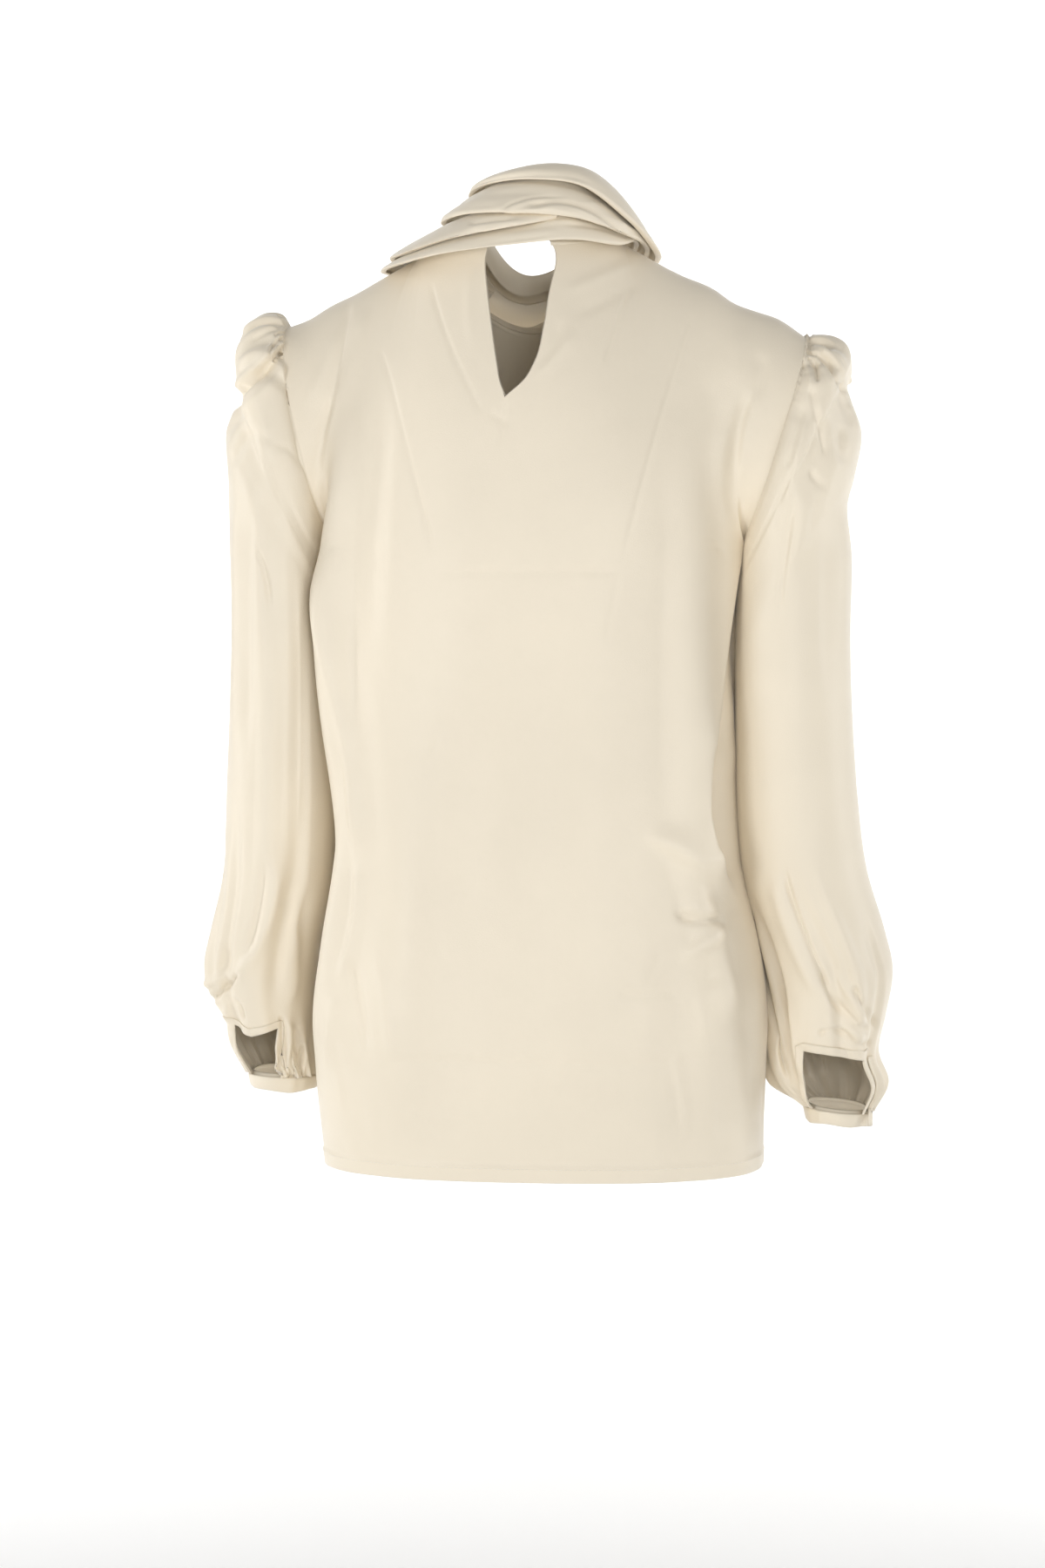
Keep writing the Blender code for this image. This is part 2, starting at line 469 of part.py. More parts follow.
def sleeve_points(side, way, turn):
    """Points of the outer face of a sleeve, turn in degrees."""
    ring = sleeve_ring(side, way, np.radians(turn))
    rings = SLEEVE_LEFT if side > 0 else SLEEVE_RIGHT
    at = way * (len(rings["y"]) - 1)
    index = np.arange(len(rings["y"]))
    middle = np.array([(float(smooth(index, rings["out_" + k], at))
                        + float(smooth(index, rings["in_" + k], at))) / 2 for k in "xz"])
    centre = np.array([middle[0], float(smooth(index, rings["y"], at)), middle[1]])
    out = ring - centre
    out /= np.linalg.norm(out, axis=1, keepdims=True)
    seam = step(0.0, 14.0, np.abs(180.0 - np.abs((turn + 180.0) % 360.0 - 180.0)))
    height = sleeve_fold_height(side, way, turn) * seam * float(step(-0.01, 0.05, way))
    return ring + out * height[:, None]


# ---- meshes -------------------------------------------------------------------------------
def material(name, row):
    found = bpy.data.materials.new(name)
    found.use_nodes = True
    shader = found.node_tree.nodes["Principled BSDF"]
    red, green, blue = (COLOURS[key][row] for key in ("red", "green", "blue"))
    shader.inputs["Base Color"].default_value = (red, green, blue, 1.0)
    shader.inputs["Roughness"].default_value = COLOURS["roughness"][row]
    return found


def thicken(name, points, faces, wall, colour, seams=None):
    """A closed wall from an open face: its points moved in along their normals, and a rim.

    seams gives, by point number, directions in which the inner point never moves, so that it
    stays clear of the piece across the seam.
    """
    mesh = bmesh.new()
    outer = [mesh.verts.new(p) for p in points]
    for face in faces:
        mesh.faces.new([outer[i] for i in face])
    mesh.normal_update()
    rim = []
    for edge in mesh.edges:
        if edge.is_boundary:
            first, second = edge.verts
            order = list(edge.link_faces[0].verts)
            if order[(order.index(first) + 1) % len(order)] is not second:
                first, second = second, first
            rim.append((first, second))
    inner = {}
    for number, vert in enumerate(outer):
        normal = vert.normal.copy()
        for direction in (seams or {}).get(number, ()):
            if normal.dot(direction) < 0.0:
                normal -= direction * normal.dot(direction)
        inner[vert] = vert.co - normal.normalized() * wall
    inner = {vert: mesh.verts.new(place) for vert, place in inner.items()}
    for face in list(mesh.faces):
        mesh.faces.new([inner[vert] for vert in reversed(face.verts)])
    for first, second in rim:
        mesh.faces.new([second, first, inner[first], inner[second]])
    bmesh.ops.triangulate(mesh, faces=mesh.faces)
    bmesh.ops.recalc_face_normals(mesh, faces=mesh.faces)
    data = bpy.data.meshes.new(name)
    mesh.to_mesh(data)
    mesh.free()
    data.polygons.foreach_set("use_smooth", [True] * len(data.polygons))
    made = bpy.data.objects.new(name, data)
    bpy.data.collections[COLLECTION].objects.link(made)
    made.data.materials.append(material(name + "_cloth", colour))
    return made


def grid_faces(index, closed=False, flip=False, skip=None):
    """Four-sided faces of a grid of point numbers."""
    rows, columns = index.shape
    faces = []
    for j in range(rows - 1):
        for i in range(columns if closed else columns - 1):
            if skip and skip(j, i):
                continue
            right = (i + 1) % columns
            face = [index[j, i], index[j, right], index[j + 1, right], index[j + 1, i]]
            faces.append(face[::-1] if flip else face)
    return faces


def numbered(rows, columns, first=0):
    """A grid of point numbers."""
    return first + np.arange(rows * columns).reshape(rows, columns)


def note_seams(seams, numbers, direction):
    for number in numbers:
        seams.setdefault(int(number), []).append(Vector(direction))


def panel_levels():
    low = np.linspace(0.0, 1.0, PANEL_ROWS_LOW + 1)
    hem = HEM_TURN / (BODY["z"][-1] - BODY["z"][0])
    low = np.concatenate([[0.0, hem, hem + 0.004], low[1:]])
    return np.concatenate([low, 1.0 + np.array(PANEL_WAYS_HIGH)])


def panel_seams(index, levels, facing, side):
    """Notes the seams of one side edge of a panel: the side seam and the armhole."""
    seams = {}
    edge = index[:, 0] if side > 0 else index[:, -1]
    note_seams(seams, edge[levels <= 1.0 + 1e-9], (0.0, -facing, 0.0))
    note_seams(seams, edge[levels >= 1.0 - 1e-9], (side, 0.0, 0.0))
    return seams


def top_seams(index, grid, facing):
    """Notes the shoulder seams along the top row of a panel."""
    seams = {}
    near = np.abs(grid[-1, :, 1]) < 0.002
    note_seams(seams, index[-1][near], (0.0, -facing, 0.0))
    return seams


def join(*notes):
    """All the seam notes of a piece together."""
    both = {}
    for note in notes:
        for number, directions in note.items():
            both.setdefault(number, []).extend(directions)
    return both


def make_front():
    levels = panel_levels()
    share = np.linspace(0.0, 1.0, PANEL_COLUMNS + 1)
    grid = panel_grid(-1, levels, [share] * len(levels))
    index = numbered(len(levels), len(share))
    seams = join(panel_seams(index, levels, -1, 1), panel_seams(index, levels, -1, -1),
                 top_seams(index, grid, -1))
    thicken("front_panel", grid.reshape(-1, 3), grid_faces(index, flip=True), WALL, 0, seams)


def keyhole_shares(level):
    """Where the two edges of the slit cross a row of the back panel."""
    fine = np.linspace(0.0, 1.0, 201)
    x = panel_row(1, level, fine)[:, 0]
    way = level - 1.0
    return [float(np.interp(-float(smooth(KEYHOLE["way"], KEYHOLE[key], way)), -x, fine))
            for key in ("left", "right")]


def back_shares(left_edge, right_edge):
    """Shares of the columns of the back panel to the left and to the right of the slit."""
    half = PANEL_COLUMNS // 2
    first, last = NECK_COLUMNS
    column = np.arange(half + 1)
    left = np.interp(column, [0, first, half], [0.0, first / PANEL_COLUMNS, left_edge])
    right = np.interp(column, [0, last - half, half], [right_edge, last / PANEL_COLUMNS, 1.0])
    return left, right


def make_back():
    """The back panel, in two halves that share their middle points up to the slit."""
    start = 1.0 + KEYHOLE["way"][0]
    levels = panel_levels()
    half = PANEL_COLUMNS // 2 + 1
    middle = keyhole_shares(start)[0]
    edges = [keyhole_shares(level) if level > start else (middle, middle) for level in levels]
    left = panel_grid(1, levels, [back_shares(*edge)[0] for edge in edges])
    right = panel_grid(1, levels, [back_shares(*edge)[1] for edge in edges])
    left_index = numbered(len(levels), half)
    right_index = numbered(len(levels), half, left_index.size)
    joined = levels <= start + 1e-9
    right_index[joined, 0] = left_index[joined, -1]
    points = np.concatenate([left.reshape(-1, 3), right.reshape(-1, 3)])
    faces = grid_faces(left_index) + grid_faces(right_index)
    used = sorted({number for face in faces for number in face})
    place = {number: k for k, number in enumerate(used)}
    seams = join(panel_seams(left_index, levels, 1, 1), panel_seams(right_index, levels, 1, -1),
                 top_seams(left_index, left, 1), top_seams(right_index, right, 1))
    seams = {place[number]: note for number, note in seams.items()}
    faces = [[place[number] for number in face] for face in faces]
    thicken("back_panel", points[used], faces, WALL, 0, seams)


def sleeve_turns(side, facing, way):
    """Angles of the columns of half a sleeve: closer at the gathered head, even at the wrist."""
    count = SLEEVE_COLUMNS
    index = np.arange(count + 1)
    head = 180.0 * (index / count) ** 1.35
    start = SLIT_WAYS[side]
    down = min(1.0, max(0.0, (way - start) / (1.0 - start)))
    high_edges, low_edges = (np.array(turns) for turns in SLIT_TURNS[side])
    edges = high_edges + (low_edges - high_edges) * down
    if facing > 0:
        low = np.interp(index, [0, *SLIT_COLUMNS, count], [0.0, *edges, 180.0])
    else:
        low = 180.0 * index / count
    share = float(step(0.25, 0.85, way))
    return facing * (head * (1.0 - share) + low * share)


def sleeve_grid(side, facing):
    """The outer face of half a sleeve, and the number of the row at the top of its slit."""
    ways = np.linspace(0.0, 1.0, SLEEVE_ROWS + 1)
    slit_row = int(np.argmin(np.abs(ways - SLIT_WAYS[side])))
    ways[slit_row] = SLIT_WAYS[side]
    ways = np.insert(ways, slit_row, SLIT_WAYS[side] - BINDING_WAY)
    rows = []
    for way in ways:
        row = sleeve_points(side, way, sleeve_turns(side, facing, way))
        row[:, 1] += facing * HALF_GAP
        rows.append(row)
    return np.array(rows), slit_row + 1


def moved_out(grid, distance):
    """The points of half a sleeve moved out along their normals."""
    normal = normals_of(grid)
    out = grid - grid.mean(axis=1, keepdims=True)
    normal *= np.sign((normal * out).sum(axis=2, keepdims=True))
    normal[-1, :, 2] = 0.0
    normal /= np.linalg.norm(normal, axis=2, keepdims=True)
    return grid + normal * distance


def make_sleeve(side, facing):
    """Half a sleeve. The back half is cut away at the slit above the cuff."""
    grid, slit_row = sleeve_grid(side, facing)
    index = numbered(*grid.shape[:2])

    def in_slit(j, i):
        return facing > 0 and j >= slit_row and SLIT_COLUMNS[0] <= i < SLIT_COLUMNS[1]

    faces = grid_faces(index, flip=side * facing > 0, skip=in_slit)
    used = sorted({number for face in faces for number in face})
    place = {number: k for k, number in enumerate(used)}
    faces = [[place[number] for number in face] for face in faces]
    seams = {}
    note_seams(seams, [place[k] for k in index[:, [0, -1]].flatten()], (0.0, -facing, 0.0))
    note_seams(seams, [place[k] for k in index[0]], (-side, 0.0, 0.0))
    note_seams(seams, [place[k] for k in index[-1] if k in place], (0.0, 0.0, -1.0))
    name = "sleeve_" + ("left" if side > 0 else "right") + ("_back" if facing > 0 else "_front")
    thicken(name, grid.reshape(-1, 3)[used], faces, WALL, 0, seams)


def make_binding(side):
    """The strip of cloth sewn on round the slit, one column and one row wide."""
    grid, slit_row = sleeve_grid(side, 1)
    first, last = SLIT_COLUMNS
    grid = moved_out(grid, BINDING_LIFT)[slit_row - 1:, first - 1:last + 2]
    index = numbered(*grid.shape[:2])

    def in_slit(j, i):
        return j >= 1 and 1 <= i < last - first + 1

    faces = grid_faces(index, flip=side > 0, skip=in_slit)
    used = sorted({number for face in faces for number in face})
    place = {number: k for k, number in enumerate(used)}
    faces = [[place[number] for number in face] for face in faces]
    seams = {}
    note_seams(seams, [place[k] for k in index[-1] if k in place], (0.0, 0.0, -1.0))
    name = "slit_binding_" + ("left" if side > 0 else "right")
    thicken(name, grid.reshape(-1, 3)[used], faces, WALL, 2, seams)


def make_tie():
    """The loose tie end, from beside the right slit down past its cuff."""
    grid, slit_row = sleeve_grid(-1, 1)
    columns = [SLIT_COLUMNS[0] - 2, SLIT_COLUMNS[0] - 1]
    lift = BINDING_LIFT + WALL + 4 * HALF_GAP
    rows = list(moved_out(grid, lift)[slit_row:-1, columns])
    turn = np.radians(sleeve_turns(-1, 1, 1.0)[columns])
    foot = sleeve_ring(-1, 1.0, turn)
    out = foot - sleeve_ring(-1, 1.0, np.arange(0.0, 6.2, 0.2)).mean(axis=0)
    out[:, 2] = 0.0
    out /= np.linalg.norm(out, axis=1, keepdims=True)
    for drop in TIE_DROPS:
        rows.append(foot + out * (lift + WRIST_GATHER_HEIGHT) - np.array([0.0, 0.0, drop]))
    grid = np.array(rows)
    thicken("cuff_tie", grid.reshape(-1, 3), grid_faces(numbered(len(rows), 2)), WALL, 2)


def make_cuff(side):
    """A narrow band that goes on down from the gathered edge of the sleeve."""
    turn = np.arange(CUFF_COLUMNS) * 2 * math.pi / CUFF_COLUMNS
    top = sleeve_ring(side, 1.0, turn)
    centre = top.mean(axis=0)
    rows = []
    for drop, shrink in ((2 * HALF_GAP, 0.0), (CUFF_DEPTH * 0.5, 0.0010), (CUFF_DEPTH, 0.0022)):
        row = top.copy()
        out = top - centre
        out[:, 2] = 0.0
        out /= np.linalg.norm(out, axis=1, keepdims=True)
        row -= out * shrink
        row[:, 2] -= drop
        rows.append(row)
    faces = grid_faces(numbered(3, CUFF_COLUMNS), closed=True, flip=side > 0)
    name = "cuff_" + ("left" if side > 0 else "right")
    seams = {}
    note_seams(seams, range(CUFF_COLUMNS), (0.0, 0.0, 1.0))
    thicken(name, np.concatenate(rows), faces, CUFF_WALL, 2, seams)


def round_neck(turn, radius, height):
    """A place at an angle round the neck, a distance from its leaning axis and a height."""
    angle = np.radians(turn)
    x = NECK_X - NECK_LEAN * height + radius * np.cos(angle)
    return np.stack([x, COLLAR_Y + radius * np.sin(angle), height], axis=-1)


def stretch_rows(lines, swell, turn, inner=()):
    """Rows of (radius, height) across one stretch of the collar, at angles round the neck."""
    up = np.stack([smooth(lines["turn"], lines["up_" + k], turn) for k in "rz"], axis=1)
    low = np.stack([smooth(lines["turn"], lines["low_" + k], turn) for k in "rz"], axis=1)
    length = np.linalg.norm(low - up, axis=1, keepdims=True)
    along = (low - up) / length
    out = np.stack([-along[:, 1], along[:, 0]], axis=1)
    rows = [up - np.array([inset, drop]) for inset, drop in inner]
    for share, shift, stand, part in zip(*STRETCH.values()):
        if inner and shift < -0.003 and share == 0.0:
            continue
        rows.append(up + along * (share * length + shift) + out * (stand + part * swell))
    return rows


def neck_loop():
    """The neckline as the panels' own points and the middles between them, from left round."""
    left, right = back_shares(*keyhole_shares(2.0))
    front = np.linspace(0.0, 1.0, PANEL_COLUMNS + 1)[NECK_COLUMNS[0] + 1:NECK_COLUMNS[1]]
    half = PANEL_COLUMNS // 2
    points = np.concatenate([top_edge(1, left[NECK_COLUMNS[0]:]),
                             top_edge(1, right[:NECK_COLUMNS[1] - half + 1]),
                             top_edge(-1, front[::-1])])
    middles = (points + np.roll(points, -1, axis=0)) / 2
    return np.stack([points, middles], axis=1).reshape(-1, 3)


def make_stretch(key, lines, closed=True, inner=(), sewn=False):
    """One stretch of the wound collar. inner gives insets and drops of rows before its top."""
    count = COLLAR_COLUMNS if closed else COLLAR_COLUMNS * 3 // 4
    turn = np.linspace(lines["turn"][0], lines["turn"][-1], count, endpoint=not closed)
    if sewn:
        seam = neck_loop()
        across = seam[:, 0] - NECK_X + NECK_LEAN * seam[:, 2]
        turn = np.degrees(np.arctan2(seam[:, 1] - COLLAR_Y, across)) % 360.0
        count = len(turn)
    rows = [round_neck(turn, *row.T) for row in stretch_rows(lines, COLLAR_SWELL[key], turn, inner)]
    seams = {}
    if sewn:
        seam[:, 2] += 2 * HALF_GAP
        rise = seam + 0.15 * (rows[0] - seam)
        rise[:, 2] = seam[:, 2] + 0.0042
        rows = [seam, rise] + rows
        note_seams(seams, range(count), (0.0, 0.0, -1.0))
    faces = grid_faces(numbered(len(rows), count), closed=closed, flip=True)
    thicken("collar_" + key, np.concatenate(rows), faces, WALL, 1, seams)


def main():
    for old in list(bpy.data.objects):
        bpy.data.objects.remove(old)
    home = bpy.data.collections.new(COLLECTION)
    bpy.context.scene.collection.children.link(home)
    make_front()
    make_back()
    for side in (1, -1):
        make_sleeve(side, 1)
        make_sleeve(side, -1)
        make_cuff(side)
        make_binding(side)
    make_tie()
    make_stretch("roll", COLLAR_ROLL, inner=ROLL_INSIDE)
    make_stretch("wrap", COLLAR_WRAP)
    make_stretch("left", COLLAR_LEFT, closed=False)
    make_stretch("under", COLLAR_UNDER, inner=((0.0035, -0.0010),), sewn=True)


main()
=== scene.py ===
"""Silk blouse with a wound scarf collar: cloth, stitches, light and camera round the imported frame.

Metres, +Z up. The back of the blouse faces +Y, its front faces -Y, and +X is the wearer's left.
Each piece of cloth repeats the sections of its solid, more finely, and adds creases. side is 1 on
the wearer's left and -1 on the right. facing is 1 for the back and -1 for the front.
"""
import math

import bpy
import numpy as np
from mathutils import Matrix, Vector


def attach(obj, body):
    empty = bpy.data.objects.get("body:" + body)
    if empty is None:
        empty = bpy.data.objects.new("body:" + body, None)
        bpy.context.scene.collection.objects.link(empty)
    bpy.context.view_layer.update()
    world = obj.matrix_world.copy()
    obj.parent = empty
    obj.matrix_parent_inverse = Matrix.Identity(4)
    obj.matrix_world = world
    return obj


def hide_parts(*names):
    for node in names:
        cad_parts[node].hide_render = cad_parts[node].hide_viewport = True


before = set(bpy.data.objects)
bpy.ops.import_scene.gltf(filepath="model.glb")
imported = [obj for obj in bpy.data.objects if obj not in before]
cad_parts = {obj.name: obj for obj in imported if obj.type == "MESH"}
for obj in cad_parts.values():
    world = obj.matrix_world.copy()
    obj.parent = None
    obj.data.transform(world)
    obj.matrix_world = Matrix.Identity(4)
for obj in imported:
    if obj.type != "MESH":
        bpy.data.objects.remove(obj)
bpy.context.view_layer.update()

# ---- driving sizes, in metres -------------------------------------------------------------
CLOTH = 0.0007              # thickness of one layer of the silk
HALF_GAP = 0.00006          # each piece stops this far from the middle of a seam
ALLOWANCE = 0.0040          # seam turnings, on the inside
SLEEVE_ALLOWANCE = 0.0030
SEAM_DIP = 0.0004           # how far the cloth is drawn in along a seam
SEAM_REACH = 0.0012
HEM_TURN = 0.0105           # height of the turned hem
HEM_STEP = 0.0007           # how far it stands out
STITCH_LINE = 0.0096        # height of the hem's stitches
# Rows of a turned edge: how far in from the face, and on from the edge.
HEM_ROWS = ((0.0005, -0.0002), (0.0013, 0.0004), (0.0016, 0.0030), (0.0016, 0.0098))
KEYHOLE_ROWS = ((0.0007, -0.0003), (0.0013, 0.0004), (0.0014, 0.0040))
NECK_X = 0.018              # the neckline's middle
NECK_LEAN = 0.33            # how far the neck's axis moves to the right for each metre up
NECK_HALF_WIDTH = 0.072
NECK_BACK_Y = 0.070
NECK_FRONT_Y = -0.074
NECK_BACK_Z = 0.009
NECK_FRONT_Z = -0.048
CHEST_FALL = 0.30           # how much of the way up the chest is straight, not rounded
BACK_FALL = 0.10
COLLAR_Y = 0.004
# Rows inside the upper edge of a stretch of the collar: how far in and how far down.
ROLL_INSIDE = ((0.0010, 0.0160), (0.0020, 0.0080), (0.0012, 0.0015))
UNDER_INSIDE = ((0.0035, -0.0010),)
UNDER_PEAK = (113.0, 9.0, 0.0042)       # turn, width and rise where the under stretch fills a gap
COLLAR_SEAM_RISE = 0.0042   # height of the collar's seam above the neckline
CUFF_DEPTH = 0.013
CUFF_SHORTER = 0.0025       # how far the band stops short of its depth
CUFF_WALL = 0.0009
# Rows of a cuff, from its inner lip over the band and round its lower edge: drop and inset.
CUFF_ROWS = ((-0.0030, 0.0036), (-0.0014, 0.0027), (0.0001, 0.0016), (0.0002, 0.0005),
             (0.0010, 0.0), (0.0030, 0.0002), (0.0065, 0.0008), (0.0100, 0.0014),
             (0.0122, 0.0019), (0.0129, 0.0025), (0.0129, 0.0036))
BINDING_LIFT = 0.0008
BINDING_WALL = 0.0006
BINDING_WAY = 0.013         # share of the sleeve that the binding takes above the slit
TIE_LIFT = BINDING_LIFT + 0.0013
TIE_WALL = 0.0010
TIE_DROPS = (-0.004, 0.003, 0.009)
SLIT_SHIFTS = {             # how far the top of the slit sits below its row, across the slit
    1: ((-0.5, 0.0, 0.5, 1.0, 1.5), (0.0, 0.002, 0.008, 0.001, 0.0)),
    -1: ((-0.5, 0.0, 1.0, 1.5), (0.0, 0.002, -0.009, 0.0)),
}
PUFF_DROP = {1: 0.0022, -1: 0.0055}     # how far the heads sag below their sections
HEAD_SHARE = 0.55           # share of the wide head folds that is kept under the creases
HEAD_TURN = 86.0            # the head is gathered this far round from its outer line
HEAD_SHARPNESS = 0.0009
HEAD_PUCKER = 0.0008
WRIST_PUCKER = 0.0010
SIDE_EASE = 0.0065          # how far the right side of the body is let out under the sleeve
SIDE_DEPTH = 0.050
SIDE_FOLD = 0.0060          # how far the back folds over the gap beside the right sleeve
SIDE_FOLD_Y = 0.034         # the middle of that fold, and how wide it is
SIDE_FOLD_DEPTH = 0.020
INNER_EASE = 0.0055         # how far the right sleeve is let out toward the body, low down
INNER_TURN = -165.0         # the turn round the sleeve where that is
# Shares along the top edge whose mean softens the rows below the shoulder.
SOFTENING = (-0.06, -0.04, -0.02, 0.0, 0.02, 0.04, 0.06)
UNDERARM_ROUNDS = 60        # times the cloth at the underarm is evened out
STITCH_LENGTH = 0.0024
STITCH_GAP = 0.0010
THREAD_RADIUS = 0.00022
THREAD_SIZES = (0.45, 0.9, 1.0, 0.9, 0.45)      # along one stitch, shares of its radius
THREAD_SIDES = 6

# ---- camera and light ---------------------------------------------------------------------
CAMERA_TURN = 187.0         # degrees round the blouse from its front
CAMERA_DISTANCE = 2.70
EYE_Z = -0.256
FRAME_HEIGHT = 1.152        # what the frame takes in at the blouse's middle
FRAME_PIXELS = 1800         # its height in pixels
FRAME_SHIFT = (-29, -200)   # pixels from the frame's middle to the eye's height and line
SENSOR = 36.0               # height of the camera's sensor, millimetres
AIM_Z = -0.30               # height that the lights are turned to
FLOOR_Z = -1.02
WORLD_STRENGTH = 0.36
LIGHTS = (
    # name, across to the picture's right, toward the camera, up, size, power
    ("key_left", -1.45, 2.0, 0.00, (0.7, 0.9), 16.5),
    ("front", 0.25, 2.5, 0.20, (0.5, 0.5), 9.5),
    ("fill_right", 1.20, 2.1, -0.20, (1.0, 1.4), 10.0),
)
WALL_LIGHTS = (
    ("side_left", -1.9, -0.4, 0.4, (0.8, 1.6), 45.0),
    ("side_right", 1.9, -0.4, 0.4, (0.8, 1.6), 44.0),
    ("wall_left", -1.9, -1.6, 0.4, (0.8, 1.6), 22.0),
    ("wall_right", 1.9, -1.6, 0.4, (0.8, 1.6), 22.0),
)
WALL_AWAY = 3.9             # the backdrop stands behind where a camera in front would be
COVE_RADIUS = 0.9
COVE_STEPS = 12
FLOOR_AHEAD = 6.0
BACKDROP_HALF = 5.0
BACKDROP_HEIGHT = 5.0

# ---- colours and grain --------------------------------------------------------------------
CREAM = (0.84, 0.755, 0.61)
TRIM = (0.83, 0.745, 0.60)
THREAD = (0.86, 0.80, 0.70)
PAPER = (0.93, 0.93, 0.925)
SHEEN_TINT = (1.0, 0.97, 0.92, 1.0)
MOTTLE_SCALE = 9.0
PEBBLE_SCALE = 900.0
GRAIN_SCALE = 1500.0
GRAIN_STRENGTH = 0.22
GRAIN_DEPTH = 0.00025
ROUGHNESS_SCALE = 60.0

# ---- how finely the cloth is divided ------------------------------------------------------
LOW_ROWS = 148
HIGH_ROWS = 124
BACK_COLUMNS = 140          # of each half of the back
FRONT_COLUMNS = 150
NECK_SHARES = (5 / 22, 16 / 22)         # where the neck points lie along a panel's top edge
SLEEVE_COLUMNS = 150        # of half a sleeve
HEAD_ROWS = 54
SLEEVE_ROWS = 128
WRIST_ROWS = 58
SLIT_COLUMNS = (33, 83)
BINDING_COLUMNS = 8
CUFF_COLUMNS = 150
COLLAR_COLUMNS = 400
COLLAR_ROWS = 52
INNER_KEPT = 0.14           # share of the faces kept on the hidden inner side of the cloth
CREASE_STEPS = 40           # straight runs of a crease's course

SIDE_WORDS = {1: "left", -1: "right"}
SLIT_FIRST, SLIT_LAST = (SLEEVE_COLUMNS + column for column in SLIT_COLUMNS)


def table(names, rows):
    """A table with named columns, each column an array."""
    return {name: np.array(column, float) for name, column in zip(names.split(), zip(*rows))}


# Level sections of the body, from the hem up to the underarm.
BODY = table("z left right back front back_square front_square", [
    (-0.66, 0.1625, -0.158, 0.11, -0.106, 2.5, 2.4),
    (-0.6, 0.169, -0.1585, 0.113, -0.109, 2.6, 2.4),
    (-0.555, 0.172, -0.1575, 0.114, -0.111, 2.7, 2.4),
    (-0.5, 0.164, -0.15, 0.111, -0.112, 2.8, 2.4),
    (-0.45, 0.156, -0.139, 0.107, -0.112, 2.9, 2.4),
    (-0.39, 0.1535, -0.1345, 0.103, -0.113, 2.9, 2.4),
    (-0.33, 0.154, -0.134, 0.101, -0.116, 2.8, 2.4),
    (-0.27, 0.1545, -0.134, 0.102, -0.121, 2.7, 2.4),
    (-0.21, 0.1535, -0.1355, 0.104, -0.124, 2.6, 2.4),
])

# Shoulder seams, from the armhole in to the neckline.
SHOULDER_LEFT = table("x z", [
    (0.1914, -0.048), (0.1747, -0.0415), (0.1594, -0.032), (0.139, -0.0222),
    (0.123, -0.013), (0.09, 0.006)])
SHOULDER_RIGHT = table("x z", [
    (-0.1875, -0.0575), (-0.169, -0.0445), (-0.153, -0.0388), (-0.1357, -0.032),
    (-0.1222, -0.0222), (-0.098, -0.0115), (-0.054, 0.013)])

# Teardrop slit at the centre back, by the share of the way from underarm to neckline.
KEYHOLE = table("way left right", [
    (0.33, 0.019, 0.019), (0.37, 0.0235, 0.006), (0.42, 0.0262, -0.002),
    (0.52, 0.0305, -0.0078), (0.64, 0.0345, -0.011), (0.78, 0.0372, -0.015),
    (1, 0.033, -0.01)])

# Folds of the body, as soft ridges (height above 0) and troughs (below 0).
# turn is the angle round the body: 0 left side, 90 centre back, 180 right side, 270 front.
FOLDS = table("turn_top turn_low z_top z_low spread height", [
    (21, 24, -0.11, -0.43, 12, 0.019),            # edge of the back over the left sleeve
    (40, 40, -0.07, -0.33, 10, -0.0045),
    (30, 24, -0.37, -0.6, 9, 0.006),              # bright upright edge above the left hip
    (17, 12, -0.39, -0.6, 7, -0.005),
    (148, 145, -0.11, -0.47, 12, 0.006),          # edge of the back over the right sleeve
    (162, 160, -0.16, -0.46, 12, -0.003),
    (140, 152, -0.4, -0.56, 8, 0.0045),
    (38, 44, -0.42, -0.68, 9, -0.0028),           # long soft folds down to the hem
    (54, 58, -0.35, -0.68, 11, 0.003),
    (132, 138, -0.45, -0.68, 10, -0.0032),
    (150, 158, -0.48, -0.68, 9, 0.003),
    (76, 70, -0.3, -0.64, 14, -0.0018),
    (112, 108, -0.25, -0.62, 16, 0.0016),
    (205, 208, -0.16, -0.64, 12, 0.005),          # front, plain soft folds
    (232, 226, -0.22, -0.68, 12, -0.004),
    (258, 254, -0.15, -0.62, 14, 0.003),
    (284, 290, -0.18, -0.66, 13, -0.0035),
    (312, 316, -0.2, -0.68, 12, 0.0045),
    (336, 334, -0.16, -0.6, 11, -0.004),
])

